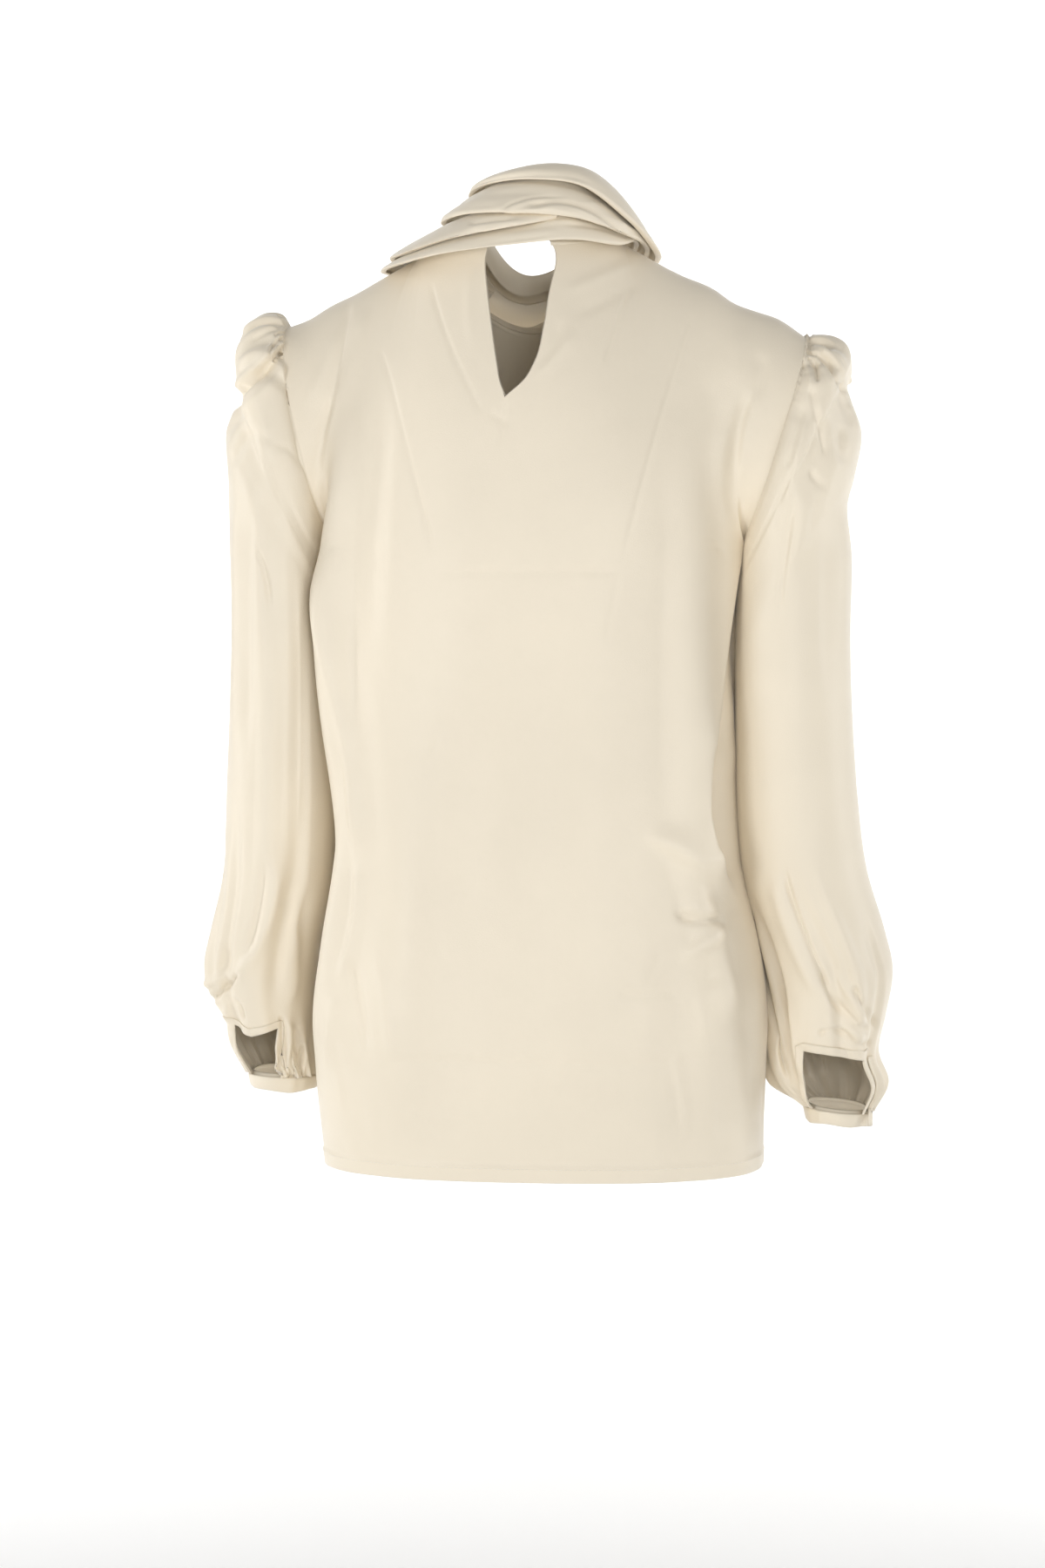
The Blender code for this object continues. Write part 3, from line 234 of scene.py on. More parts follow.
# Rings of the sleeves. Each runs from a point on the outer line of the arm to one on the
# inner line, with the middle of its depth at y and half its depth to the back and the front.
SLEEVE_LEFT = table("out_x out_z in_x in_z y depth square", [
    (0.1917, -0.047, 0.1556, -0.207, 0, 0.056, 2.1),
    (0.1955, -0.0395, 0.1566, -0.211, 0, 0.059, 2.1),
    (0.2045, -0.0378, 0.1574, -0.2155, 0, 0.0625, 2.1),
    (0.214, -0.041, 0.158, -0.22, 0, 0.0645, 2.1),
    (0.2235, -0.049, 0.1585, -0.225, 0, 0.0655, 2.1),
    (0.2298, -0.061, 0.1588, -0.231, -0.001, 0.0655, 2.1),
    (0.2295, -0.08, 0.159, -0.238, -0.001, 0.0645, 2.1),
    (0.227, -0.096, 0.159, -0.246, -0.001, 0.0635, 2.1),
    (0.2345, -0.111, 0.1588, -0.255, -0.002, 0.063, 2.2),
    (0.2388, -0.127, 0.1585, -0.266, -0.002, 0.063, 2.2),
    (0.2368, -0.16, 0.158, -0.282, -0.003, 0.0625, 2.2),
    (0.2362, -0.205, 0.157, -0.306, -0.004, 0.061, 2.2),
    (0.235, -0.265, 0.1565, -0.335, -0.006, 0.06, 2.2),
    (0.2375, -0.33, 0.1562, -0.372, -0.009, 0.059, 2.2),
    (0.2405, -0.39, 0.1565, -0.412, -0.012, 0.0585, 2.2),
    (0.243, -0.45, 0.16, -0.46, -0.016, 0.058, 2.2),
    (0.25, -0.49, 0.169, -0.496, -0.018, 0.0575, 2.2),
    (0.2555, -0.518, 0.1735, -0.524, -0.02, 0.056, 2.2),
    (0.2525, -0.54, 0.1752, -0.545, -0.021, 0.0535, 2.2),
    (0.243, -0.559, 0.176, -0.564, -0.022, 0.049, 2.2),
    (0.239, -0.578, 0.176, -0.582, -0.022, 0.043, 2.2),
    (0.227, -0.6, 0.1745, -0.602, -0.022, 0.0345, 2.2),
])
SLEEVE_RIGHT = table("out_x out_z in_x in_z y depth square", [
    (-0.1878, -0.0572, -0.1376, -0.213, 0, 0.056, 2.1),
    (-0.192, -0.0545, -0.1384, -0.217, 0, 0.0595, 2.1),
    (-0.1995, -0.055, -0.1388, -0.2215, 0, 0.063, 2.1),
    (-0.209, -0.0582, -0.139, -0.2265, 0, 0.065, 2.1),
    (-0.218, -0.065, -0.139, -0.232, 0, 0.066, 2.1),
    (-0.2222, -0.076, -0.1388, -0.238, -0.001, 0.066, 2.1),
    (-0.219, -0.091, -0.1386, -0.245, -0.001, 0.065, 2.1),
    (-0.2235, -0.107, -0.1384, -0.253, -0.001, 0.064, 2.1),
    (-0.2298, -0.129, -0.1382, -0.263, -0.002, 0.0635, 2.2),
    (-0.2245, -0.159, -0.138, -0.276, -0.003, 0.063, 2.2),
    (-0.2195, -0.182, -0.1378, -0.292, -0.004, 0.0625, 2.2),
    (-0.2228, -0.22, -0.1374, -0.314, -0.005, 0.0615, 2.2),
    (-0.2215, -0.275, -0.137, -0.342, -0.007, 0.0605, 2.2),
    (-0.223, -0.335, -0.137, -0.377, -0.01, 0.06, 2.2),
    (-0.2268, -0.395, -0.1378, -0.416, -0.013, 0.06, 2.2),
    (-0.233, -0.445, -0.1435, -0.456, -0.016, 0.06, 2.2),
    (-0.246, -0.49, -0.155, -0.496, -0.019, 0.0595, 2.2),
    (-0.252, -0.52, -0.16, -0.526, -0.021, 0.0585, 2.2),
    (-0.247, -0.552, -0.1615, -0.558, -0.022, 0.056, 2.2),
    (-0.241, -0.579, -0.162, -0.585, -0.023, 0.051, 2.2),
    (-0.247, -0.602, -0.168, -0.603, -0.023, 0.045, 2.2),
    (-0.236, -0.623, -0.186, -0.618, -0.023, 0.034, 2.2),
])
ARMHOLE_BOW = {1: 0.004, -1: 0.011}     # how far the armhole bows toward the arm, by side

# Folds of the sleeves. turn: 0 outer line, 90 back, 180 inner line, 270 front.
# way: share of the sleeve's rings passed, 0 at the armhole and 1 at the cuff.
FRONT_FOLDS = (             # both sleeves, in front, plain soft folds
    (-60, -66, 0.45, 0.96, 14, 0.004),
    (-96, -90, 0.5, 0.96, 12, -0.0045),
    (-130, -124, 0.4, 0.92, 14, 0.003),
)
SLEEVE_FOLDS_LEFT = table("turn_top turn_low way_top way_low spread height", [
    (4, -2, 0, 0.26, 9, 0.0045),
    (19, 14, 0, 0.24, 6, -0.005),
    (32, 25, 0, 0.3, 7, 0.0042),
    (45, 34, 0, 0.24, 6, -0.0045),
    (57, 36, 0, 0.36, 8, 0.0045),
    (72, 20, 0, 0.48, 9, -0.008),                 # deep slanting fold under the puff
    (96, 70, 0.1, 0.6, 14, 0.003),
    (-14, -16, 0, 0.24, 6, -0.0046),
    (-28, -26, 0, 0.32, 7, 0.0044),
    (-42, -38, 0, 0.26, 6, -0.0048),
    (-56, -48, 0, 0.38, 8, 0.0046),
    (-72, -50, 0, 0.46, 9, -0.006),
    (120, 112, 0.4, 0.95, 12, -0.0045),
    (86, 92, 0.5, 0.92, 13, 0.0035),
    (52, 66, 0.66, 0.98, 11, -0.005),
    (20, 40, 0.7, 0.94, 12, 0.005),
    *FRONT_FOLDS,
])
SLEEVE_FOLDS_RIGHT = table("turn_top turn_low way_top way_low spread height", [
    (6, 4, 0, 0.25, 9, 0.0045),
    (20, 16, 0, 0.24, 6, -0.0048),
    (33, 30, 0, 0.28, 7, 0.004),
    (47, 22, 0, 0.38, 7, -0.007),                 # deep fold from the gathers to the edge
    (60, 46, 0, 0.34, 8, 0.0045),
    (74, 66, 0, 0.42, 8, -0.004),
    (92, 84, 0.05, 0.55, 11, 0.003),
    (-12, -14, 0, 0.24, 6, -0.0046),
    (-26, -26, 0, 0.32, 7, 0.0044),
    (-40, -38, 0, 0.26, 6, -0.0046),
    (-54, -46, 0, 0.38, 8, 0.0046),
    (-70, -50, 0, 0.46, 9, -0.0058),
    (150, 118, 0.72, 1, 10, -0.01),               # dark fold that runs into the cuff
    (98, 60, 0.7, 0.96, 9, -0.0045),
    (76, 44, 0.7, 0.96, 9, 0.004),
    (40, 24, 0.74, 0.96, 9, -0.004),
    *FRONT_FOLDS,
])
WRIST_GATHERS = 15          # round each cuff
WRIST_GATHER_HEIGHT = 0.0022
WRIST_GATHER_WAY = 0.86     # share of the sleeve where they begin

# Slits above the cuffs, by side: the share of the sleeve they start at, and the turns of their
# two edges there and at the cuff.
SLIT_WAYS = {1: 0.905, -1: 0.905}
SLIT_TURNS = {1: ((52.0, 110.0), (44.0, 96.0)), -1: ((45.0, 106.0), (46.0, 128.0))}

# Stretches of the wound collar, from the outermost in. turn is the angle round the neck: 0 left,
# 90 back, 180 right, 270 front. Each stretch hangs from its upper line to its lower edge, both
# given by their distance from the neck's axis and their height.
COLLAR_ROLL = table("turn up_r up_z low_r low_z", [
    (0, 0.047, 0.048, 0.052, 0.044),
    (30, 0.049, 0.054, 0.059, 0.049),
    (60, 0.051, 0.0605, 0.064, 0.0525),
    (90, 0.052, 0.0655, 0.068, 0.053),
    (120, 0.052, 0.064, 0.073, 0.048),
    (150, 0.0505, 0.057, 0.085, 0.027),
    (180, 0.049, 0.048, 0.0985, 0.006),
    (200, 0.053, 0.04, 0.103, 0.0015),
    (225, 0.056, 0.02, 0.11, -0.015),
    (270, 0.064, -0.005, 0.108, -0.033),
    (315, 0.056, 0.024, 0.074, 0.015),
    (360, 0.047, 0.048, 0.052, 0.044),
])
COLLAR_WRAP = table("turn up_r up_z low_r low_z", [
    (0, 0.0525, 0.0352, 0.067, 0.027),
    (30, 0.0548, 0.0445, 0.0725, 0.0272),
    (60, 0.0568, 0.0515, 0.078, 0.0287),
    (90, 0.058, 0.0545, 0.0805, 0.0275),
    (120, 0.0605, 0.05, 0.0835, 0.024),
    (150, 0.0625, 0.039, 0.0865, 0.015),
    (180, 0.062, 0.033, 0.089, 0.011),
    (200, 0.066, 0.0265, 0.094, 0.006),
    (225, 0.074, 0.006, 0.102, -0.014),
    (270, 0.086, -0.026, 0.11, -0.05),
    (315, 0.069, 0.01, 0.092, 0),
    (360, 0.0525, 0.0352, 0.067, 0.027),
])
COLLAR_LEFT = table("turn up_r up_z low_r low_z", [
    (-70, 0.0788, -0.0181, 0.0896, -0.0271),
    (-45, 0.078, -0.002, 0.0975, -0.016),
    (-20, 0.0695, 0.0145, 0.0985, -0.002),
    (0, 0.064, 0.0222, 0.099, 0.002),
    (30, 0.0655, 0.0252, 0.0955, 0.002),
    (60, 0.0685, 0.0295, 0.0895, 0.01),
    (90, 0.069, 0.03, 0.085, 0.018),
    (110, 0.0686, 0.0306, 0.077, 0.024),
])
COLLAR_UNDER = table("turn up_r up_z low_r low_z", [
    (0, 0.084, 0.005, 0.1035, -0.0065),
    (30, 0.08, 0.008, 0.0985, -0.006),
    (60, 0.077, 0.014, 0.093, -0.001),
    (90, 0.0755, 0.0195, 0.0885, 0.004),
    (120, 0.0745, 0.023, 0.086, 0.0085),
    (150, 0.074, 0.019, 0.084, 0.0075),
    (180, 0.0735, 0.02, 0.0805, 0.014),
    (200, 0.0755, 0.0165, 0.084, 0.0105),
    (225, 0.08, -0.002, 0.09, -0.012),
    (270, 0.092, -0.045, 0.105, -0.068),
    (315, 0.085, -0.013, 0.096, -0.026),
    (340, 0.086, 0, 0.099, -0.009),
    (360, 0.084, 0.005, 0.1035, -0.0065),
])
# Cross-section of a stretch: the share of the way from its upper line to its edge, a shift
# along it, and how far the cloth stands out, as a fixed part and a share of the swell.
STRETCH = table("share shift out swell", [
    (0, -0.004, -0.0018, 0),
    (0, 0.0005, -0.0006, 0.2),
    (0.28, 0, 0, 0.8),
    (0.55, 0, 0, 1),
    (0.8, 0, 0, 0.8),
    (1, -0.0008, 0, 0.2),
    (1, -0.0002, -0.0014, 0),
    (1, -0.0034, -0.003, 0),
])
COLLAR_SWELL = {"roll": 0.0028, "wrap": 0.0024, "left": 0.0020, "under": 0.0010}


def creases(*rows):
    """A table of creases, its rows in millimetres and its columns in metres: a curve through
    three places, across and up, its width on either side, its height (a trough below 0) and
    the share of its length over which its ends die away.

    The rows of the back, the sleeves and the collar were picked by hand on the photo, and a
    scratch script turned them into millimetres. The rows of the front were written directly.
    """
    names = "x1 z1 x2 z2 x3 z3 left right height"
    placed = table(names + " fade", rows)
    for name in names.split():
        placed[name] /= 1000
    return placed


BACK_CREASES = creases(
    # faint pressed lines
    (114.5, -66, 94, -126.5, 68, -219, 2.5, 1.2, -0.75, 0.12),
    (77.5, -18.5, 58, -70.5, 33, -118, 2.5, 1.2, -0.75, 0.12),
    (-111, -39.5, -92.5, -109, -63.5, -225, 1.2, 2.5, -0.75, 0.12),
    (-64.5, -24, -56.5, -55.5, -49.5, -82.5, 1.2, 2.5, -0.75, 0.15),
    (71.5, -229, 5.5, -228.5, -66, -228.5, 2.5, 1.2, -0.8, 0.12),
    (-31.5, -228.5, -50, -228.5, -66, -229, 2.5, 1.9, -0.35, 0.2),
    (-64, -229, -59, -250, -53, -282, 2.5, 1.9, -0.35, 0.2),
    (-62, -526.5, -84.5, -527, -106, -526.5, 2.5, 1.2, -0.8, 0.12),
    (131.5, -577, 54, -574, -21, -574.5, 3.1, 1.2, -0.9, 0.1),
    (-21, -574.5, -81.5, -575, -141, -570.5, 3.1, 1.2, -0.9, 0.1),
    (65, -342.5, 71, -356.5, 78.5, -367.5, 2.5, 1.9, -0.4, 0.25),
    # creases and edges of the left side
    (143, -27, 147, -79, 161, -139, 4.3, 2.5, -1.6, 0.18),
    (151, -101, 157.5, -129.5, 161.5, -167.5, 5.6, 2.5, -1.8, 0.25),
    (129.5, -33.5, 134, -66.5, 143.5, -111, 6.2, 7.4, 1.3, 0.3),
    (146.5, -47.5, 158, -79, 170, -114.5, 5.6, 5.6, 1, 0.3),
    (155.5, -134.5, 161.5, -167.5, 165.5, -218, 3.1, 5.6, 1.6, 0.22),
    (153, -199.5, 138.5, -318.5, 128, -449.5, 3.1, 5.6, 4, 0.2),
    (128, -293.5, 118.5, -368.5, 112, -448.5, 8.7, 8.7, -1.4, 0.3),
    (128.5, -434, 129.5, -480.5, 145, -529, 3.7, 5.6, 3.2, 0.24),
    (135, -503, 126.5, -536.5, 118, -574, 3.1, 5, -2.4, 0.24),
    (114, -498, 102, -540, 100, -583.5, 5, 6.2, 1.5, 0.3),
    (143.5, -531, 148.5, -556.5, 155.5, -596, 5, 5, 1.6, 0.3),
    (151.5, -556.5, 139.5, -587.5, 134.5, -631, 3.7, 5.6, -1.2, 0.3),
    (125, -586, 117, -616.5, 113.5, -648, 5, 6.2, 0.9, 0.35),
    # of the right side
    (-156, -68.5, -160, -87.5, -152.5, -107.5, 5.6, 5, -1.5, 0.3),
    (-155, -97.5, -145, -128, -141, -181, 5.6, 3.1, -3.2, 0.34),
    (-138, -112.5, -131, -156.5, -133, -206, 7.4, 5.6, 1.6, 0.3),
    (-116, -210, -125, -206.5, -132, -225, 2.5, 2.5, -0.5, 0.3),
    (-114.5, -88, -128, -113, -131, -150.5, 8.7, 8.7, -0.7, 0.35),
    (-144, -50, -142.5, -75, -138, -100, 6.2, 7.4, 1.1, 0.35),
    (-119, -398, -124, -432, -137.5, -465.5, 7.4, 4.3, 1.8, 0.3),
    (-121.5, -425.5, -130.5, -444.5, -141.5, -469.5, 6.2, 3.1, 2.2, 0.24),
    (-142.5, -168.5, -136, -256, -124, -370.5, 16.1, 2.5, 6.6, 0.2),
    (-129, -318, -119, -395, -132.5, -447.5, 16.1, 2.5, 6.6, 0.22),
    (-148, -218.5, -139.5, -294, -131, -369, 3.1, 7.4, -5.5, 0.2),
    (-131.5, -356.5, -127, -407.5, -139.5, -455, 3.1, 7.4, -6.5, 0.2),
    (-78, -413, -109.5, -432, -137.5, -462, 5, 11.2, 4.6, 0.3),
    (-100, -469, -117.5, -475.5, -136.5, -476, 3.1, 1.9, -4.8, 0.28),
    (-104.5, -462, -120, -467, -135.5, -469, 3.1, 3.1, 0.8, 0.3),
    (-106, -506, -123, -490, -140, -482, 5.6, 3.7, 3, 0.3),
    (-124, -492.5, -127.5, -508, -124.5, -527.5, 6.8, 8.1, -4, 0.3),
    (-75, -468, -64, -473, -51, -478, 2.5, 2.5, -0.5, 0.3),
    (-95.5, -492.5, -88.5, -508, -82.5, -523.5, 3.7, 3.7, -0.6, 0.35),
    (-117, -524.5, -122, -542.5, -124, -563, 3.7, 4.3, 1.3, 0.3),
    (-100.5, -566.5, -107.5, -594.5, -111, -633, 3.7, 4.3, 1.4, 0.25),
    (-139.5, -528, -144.5, -586, -141, -647, 13.6, 11.2, -6, 0.24),
    (-153.5, -514, -157.5, -557.5, -156, -615, 3.7, 3.7, 2, 0.3),
    (-88.5, -532, -91, -569, -86, -618, 8.7, 7.4, -0.7, 0.35),
    # of the top and the middle
    (-71, -0.5, -45.5, -17, -16, -31, 5, 5, 1.1, 0.3),
    (-76, -15.5, -52, -32.5, -22.5, -48.5, 5.6, 5, -1, 0.3),
    (-30, -55, -17.5, -73.5, 3, -93, 4.3, 5, 1, 0.3),
    (-16.5, -46, -13.5, -69, 3, -90.5, 3.7, 3.7, -0.9, 0.3),
    (31, -114, 23.5, -120, 13.5, -124, 3.1, 3.1, -0.6, 0.3),
    (18, -106.5, 19, -120, 23, -145, 2.5, 2.5, -0.6, 0.3),
    (44.5, -6, 47.5, -38, 41.5, -76, 3.7, 5, 0.8, 0.35),
    (56, -144.5, 42.5, -256, 55.5, -379.5, 24.8, 27.9, 1.2, 0.4),
    (-31.5, -170, -44, -293, -26, -428, 27.9, 24.8, 1, 0.4),
    (11.5, -256, 5.5, -379.5, -2, -532, 18.6, 18.6, -0.9, 0.4),
    (79.5, -604.5, 72, -618.5, 62, -629.5, 3.1, 3.1, -0.5, 0.3),
    (30, -441, 54, -508.5, 66.5, -576.5, 18.6, 22.3, 0.9, 0.4),
    (-38.5, -470.5, -51.5, -537.5, -45, -623.5, 16.1, 16.1, 0.8, 0.4),
)

LEFT_CREASES = creases(
    (192.5, -47.5, 212, -45.5, 227.5, -59.5, 1.2, 1.9, -2.6, 0.1),
    (193, -44, 211.5, -42, 230.5, -52.5, 2.5, 1.9, 2, 0.14),
    (193, -50.5, 203, -52.5, 215.5, -61.5, 1.6, 1.9, -1.5, 0.22),
    (193.5, -48.5, 204.5, -49.5, 220, -59, 1.9, 1.9, 1, 0.22),
    (189, -53, 194, -53.5, 197, -56, 1.2, 1.2, -2, 0.2),
    (187.5, -56, 195, -60.5, 198, -73, 1.2, 1.6, -2.4, 0.14),
    (188, -54.5, 195.5, -58, 200, -68.5, 1.9, 1.6, 1.3, 0.2),
    (187, -59, 192, -65, 194.5, -73, 1.1, 1.2, -1.8, 0.2),
    (186.5, -61.5, 201.5, -80.5, 234.5, -106.5, 2.2, 3.7, -6, 0.07),
    (190, -58, 203, -75.5, 232.5, -97, 3.7, 1.9, 3, 0.16),
    (185.5, -67.5, 195, -90, 234.5, -121.5, 3.1, 5.6, 1.6, 0.18),
    (197.5, -63, 206, -75, 214.5, -88.5, 4.3, 4.3, 1.2, 0.3),
    (194, -39, 202, -35, 210, -36, 1.6, 1.9, -1.4, 0.2),
    (192, -42.5, 197, -38.5, 201.5, -37.5, 1.2, 1.2, -1.4, 0.2),
    (208.5, -122, 219.5, -136.5, 227, -154, 4.3, 5, -1.8, 0.28),
    (195.5, -137.5, 180, -141, 175, -155, 2.5, 3.1, -0.8, 0.28),
    (214, -126.5, 200, -130, 189.5, -135, 5, 3.7, -0.9, 0.3),
    (185.5, -78.5, 181, -109.5, 172, -142, 3.1, 3.1, -0.9, 0.25),
    (177, -129.5, 174, -142, 171, -158, 2.5, 2.5, -1.2, 0.3),
    (209.5, -167.5, 214, -256, 216.5, -383, 5.6, 5.6, -2.4, 0.26),
    (222, -161, 226.5, -256, 228.5, -384, 4.3, 4.3, 2, 0.26),
    (185, -167.5, 183.5, -256, 190, -370, 8.7, 8.7, 1.3, 0.35),
    (207.5, -210.5, 200, -227, 195.5, -256, 1.9, 1.9, -1.8, 0.22),
    (177.5, -218, 177, -319.5, 180.5, -437.5, 4.3, 4.3, 2.4, 0.24),
    (169, -218, 160.5, -294, 152, -369.5, 4.3, 5.6, -1.6, 0.3),
    (202, -357.5, 199, -402, 203.5, -446.5, 9.9, 9.9, -0.9, 0.4),
    (181.5, -370.5, 181.5, -408.5, 185, -447, 5.6, 5.6, 1, 0.4),
    (203, -435, 208.5, -475.5, 218.5, -513, 4.3, 4.3, -3.8, 0.2),
    (194.5, -437, 201.5, -486, 235, -536, 3.7, 5.6, 2.8, 0.16),
    (185.5, -447, 192, -491, 199, -543.5, 5, 5, -2.6, 0.22),
    (181, -486, 183.5, -518.5, 188.5, -550.5, 3.1, 3.1, 2, 0.26),
    (172.5, -454, 178.5, -493, 181.5, -532, 3.7, 3.7, -1.8, 0.3),
    (229.5, -541.5, 223.5, -549, 222, -560.5, 1.9, 1.9, -2.6, 0.18),
    (234.5, -542.5, 236, -551.5, 236, -561, 3.1, 3.1, 1.6, 0.3),
    (221.5, -521, 239.5, -537, 251, -546, 1.9, 1.9, -4.2, 0.14),
    (229.5, -519.5, 245, -530.5, 257, -533, 3.7, 2.5, 2.6, 0.2),
    (234, -502, 234.5, -515, 242, -526.5, 5, 5, -1.6, 0.3),
    (237.5, -562.5, 217.5, -567.5, 201, -559, 1.9, 2.5, 1.4, 0.2),
    (195, -553.5, 195, -577, 199.5, -604.5, 1.6, 2.2, -3, 0.12),
    (190, -557, 189.5, -579.5, 194.5, -604.5, 1.9, 1.9, 2, 0.18),
    (185.5, -561, 187, -580.5, 191, -603, 1.6, 1.6, -1.8, 0.2),
    (181, -576.5, 185.5, -592, 190.5, -604.5, 1.6, 1.9, -2.8, 0.14),
    (179.5, -582.5, 181.5, -596, 186.5, -606, 1.6, 1.6, 1.6, 0.2),
    (240.5, -404, 234, -448.5, 236.5, -486.5, 3.7, 3.7, 1.2, 0.35),
)

RIGHT_CREASES = creases(
    (-192, -64.5, -200, -63.5, -210.5, -71, 1.2, 1.6, -2.2, 0.14),
    (-192, -61, -203.5, -60, -216, -68.5, 1.9, 1.9, 1.6, 0.2),
    (-191, -70, -205.5, -77.5, -220, -100.5, 2.2, 1.6, -4, 0.08),
    (-193.5, -67, -207.5, -72, -219, -88, 1.6, 2.5, 2.4, 0.16),
    (-192, -75, -198, -79.5, -201, -94.5, 1.6, 1.6, -3, 0.12),
    (-194, -72, -205.5, -84, -212.5, -98, 2.5, 2.5, 2, 0.2),
    (-191.5, -79, -195, -88, -196, -102, 1.9, 1.9, 1.4, 0.24),
    (-191.5, -67, -198, -68, -204.5, -71, 1.1, 1.1, -1.6, 0.2),
    (-195.5, -94.5, -200.5, -120.5, -206.5, -149, 2.2, 2.8, -1.8, 0.18),
    (-201.5, -102, -208, -123, -214.5, -142.5, 3.7, 3.7, 0.9, 0.34),
    (-191, -108.5, -185, -133.5, -179, -158, 2.5, 3.1, -1.4, 0.22),
    (-194, -153, -200.5, -164.5, -210, -168.5, 3.1, 3.1, -1.6, 0.24),
    (-217, -122.5, -217, -138.5, -220.5, -152.5, 3.7, 4.3, -2.4, 0.26),
    (-221, -106.5, -225, -116.5, -227.5, -130.5, 3.1, 2.5, 1.6, 0.28),
    (-187, -98, -177, -129.5, -167, -166.5, 2.5, 3.7, 0.9, 0.3),
    (-185.5, -169.5, -178, -219, -173, -265.5, 2.2, 2.2, -1.3, 0.24),
    (-208.5, -181.5, -207, -256, -210.5, -337.5, 5.6, 6.2, -1.4, 0.35),
    (-218, -168.5, -218, -243.5, -218.5, -319, 4.3, 3.7, 1.3, 0.35),
    (-159, -206, -155, -281, -153, -356, 7.4, 8.7, 1.2, 0.35),
    (-180, -256, -181.5, -318, -179.5, -393, 9.9, 9.9, 0.9, 0.4),
    (-194.5, -169, -190.5, -194, -191.5, -225, 5, 5, 1, 0.35),
    (-198.5, -343.5, -194.5, -393, -199.5, -443, 7.4, 7.4, -0.8, 0.4),
    (-176, -441, -190, -485, -211.5, -533, 3.1, 1.6, -3.8, 0.18),
    (-203, -514, -216.5, -542, -238.5, -559.5, 3.1, 1.6, -3.6, 0.12),
    (-167, -445, -180.5, -492.5, -204, -539, 5, 5, 2.6, 0.24),
    (-211.5, -514, -224, -535, -238, -553, 3.1, 3.1, 2, 0.2),
    (-225.5, -526, -232, -540, -241.5, -561, 1.9, 1.6, -3.4, 0.12),
    (-221, -512.5, -221, -520, -219, -528.5, 2.5, 2.5, -1.2, 0.3),
    (-231.5, -482, -237, -501.5, -240, -520, 5.6, 5.6, -1.4, 0.3),
    (-199, -564, -211, -558, -221, -564.5, 1.2, 2.2, -3.4, 0.14),
    (-218.5, -562.5, -227.5, -570, -237.5, -570.5, 1.2, 2.2, -3.4, 0.14),
    (-201.5, -561.5, -217.5, -556.5, -233.5, -567, 2.2, 2.2, 1.8, 0.18),
    (-182.5, -568.5, -205, -572, -231, -576, 1.6, 1.6, 1.2, 0.16),
    (-154, -472.5, -164, -518.5, -181.5, -570.5, 2.5, 5, 1.8, 0.24),
    (-148, -474.5, -159.5, -528, -179.5, -604.5, 2.2, 1.9, -5.5, 0.12),
    (-160.5, -559, -165, -580.5, -171, -599.5, 3.1, 3.1, 1.6, 0.26),
)

COLLAR_CREASES = {
    "roll": creases(
        (37, 52.5, 10, 58.5, -27.5, 56, 2.5, 2.5, 0.7, 0.25),
        (-30, 56, -52, 40, -71, 14.5, 3.1, 3.1, 0.6, 0.25),
        (9.5, 54, -15.5, 57, -45.5, 47.5, 2.5, 2.5, -0.5, 0.25),
    ),
    "wrap": creases(
        (24.5, 27.5, 6, 37.5, -25.5, 39, 1.9, 1.2, -1.2, 0.18),
        (18, 27.5, -0.5, 35.5, -28, 36, 1.9, 2.5, 1.3, 0.24),
        (7, 31, -29.5, 34, -66, 9, 3.1, 1.6, -3, 0.16),
        (0, 28.5, -31.5, 29.5, -63, 11.5, 2.5, 1.9, 1.4, 0.22),
        (-28, 37.5, -51.5, 29.5, -66.5, 13, 2.5, 2.5, 1.2, 0.24),
        (26, 26, -7.5, 28.5, -38.5, 24.5, 1.6, 1.6, 0.9, 0.2),
        (56, 35.5, 34, 43, -3, 45.5, 3.1, 3.1, 0.6, 0.3),
        (59, 29, 40.5, 32, 20.5, 31, 2.5, 2.5, -0.6, 0.3),
        (40, 52.5, -15, 49.5, -52, 36.5, 1.9, 2.5, -0.6, 0.2),
        (-31.5, 47, -53, 33, -71, 11, 2.5, 2.5, -0.6, 0.25),
        (-42, 17.5, -57.5, 13, -71.5, 0.5, 2.5, 2.5, -0.9, 0.24),
    ),
    "left": creases(
        (118.5, -5.5, 72.5, 5.5, 32, 15.5, 1.9, 2.5, -1.1, 0.14),
        (94.5, 2.5, 74.5, 16.5, 54, 23, 3.1, 3.1, 0.9, 0.22),
        (103.5, -6.5, 87, 8, 67.5, 20, 2.5, 2.5, -0.6, 0.25),
        (49, 19.5, 32, 22, 12.5, 22.5, 1.6, 1.6, -1.6, 0.22),
        (52, 15.5, 28.5, 18.5, 3.5, 20.5, 1.9, 1.9, 0.8, 0.25),
    ),
    "under": creases(
        (122.5, -11, 51, 1, -17, 10.5, 1.9, 1.9, -0.6, 0.15),
        (-16.5, 18.5, -45, 18, -66, 12, 1.9, 1.9, -0.9, 0.2),
        (8, 16, -28.5, 21.5, -61, 16, 1.9, 1.9, 0.7, 0.24),
        (32, 7, 7.5, 11.5, -23, 14.5, 2.5, 2.5, 0.6, 0.25),
        (92, -1.5, 45, 7.5, 7.5, 14.5, 2.5, 2.5, 0.6, 0.25),
    ),
}

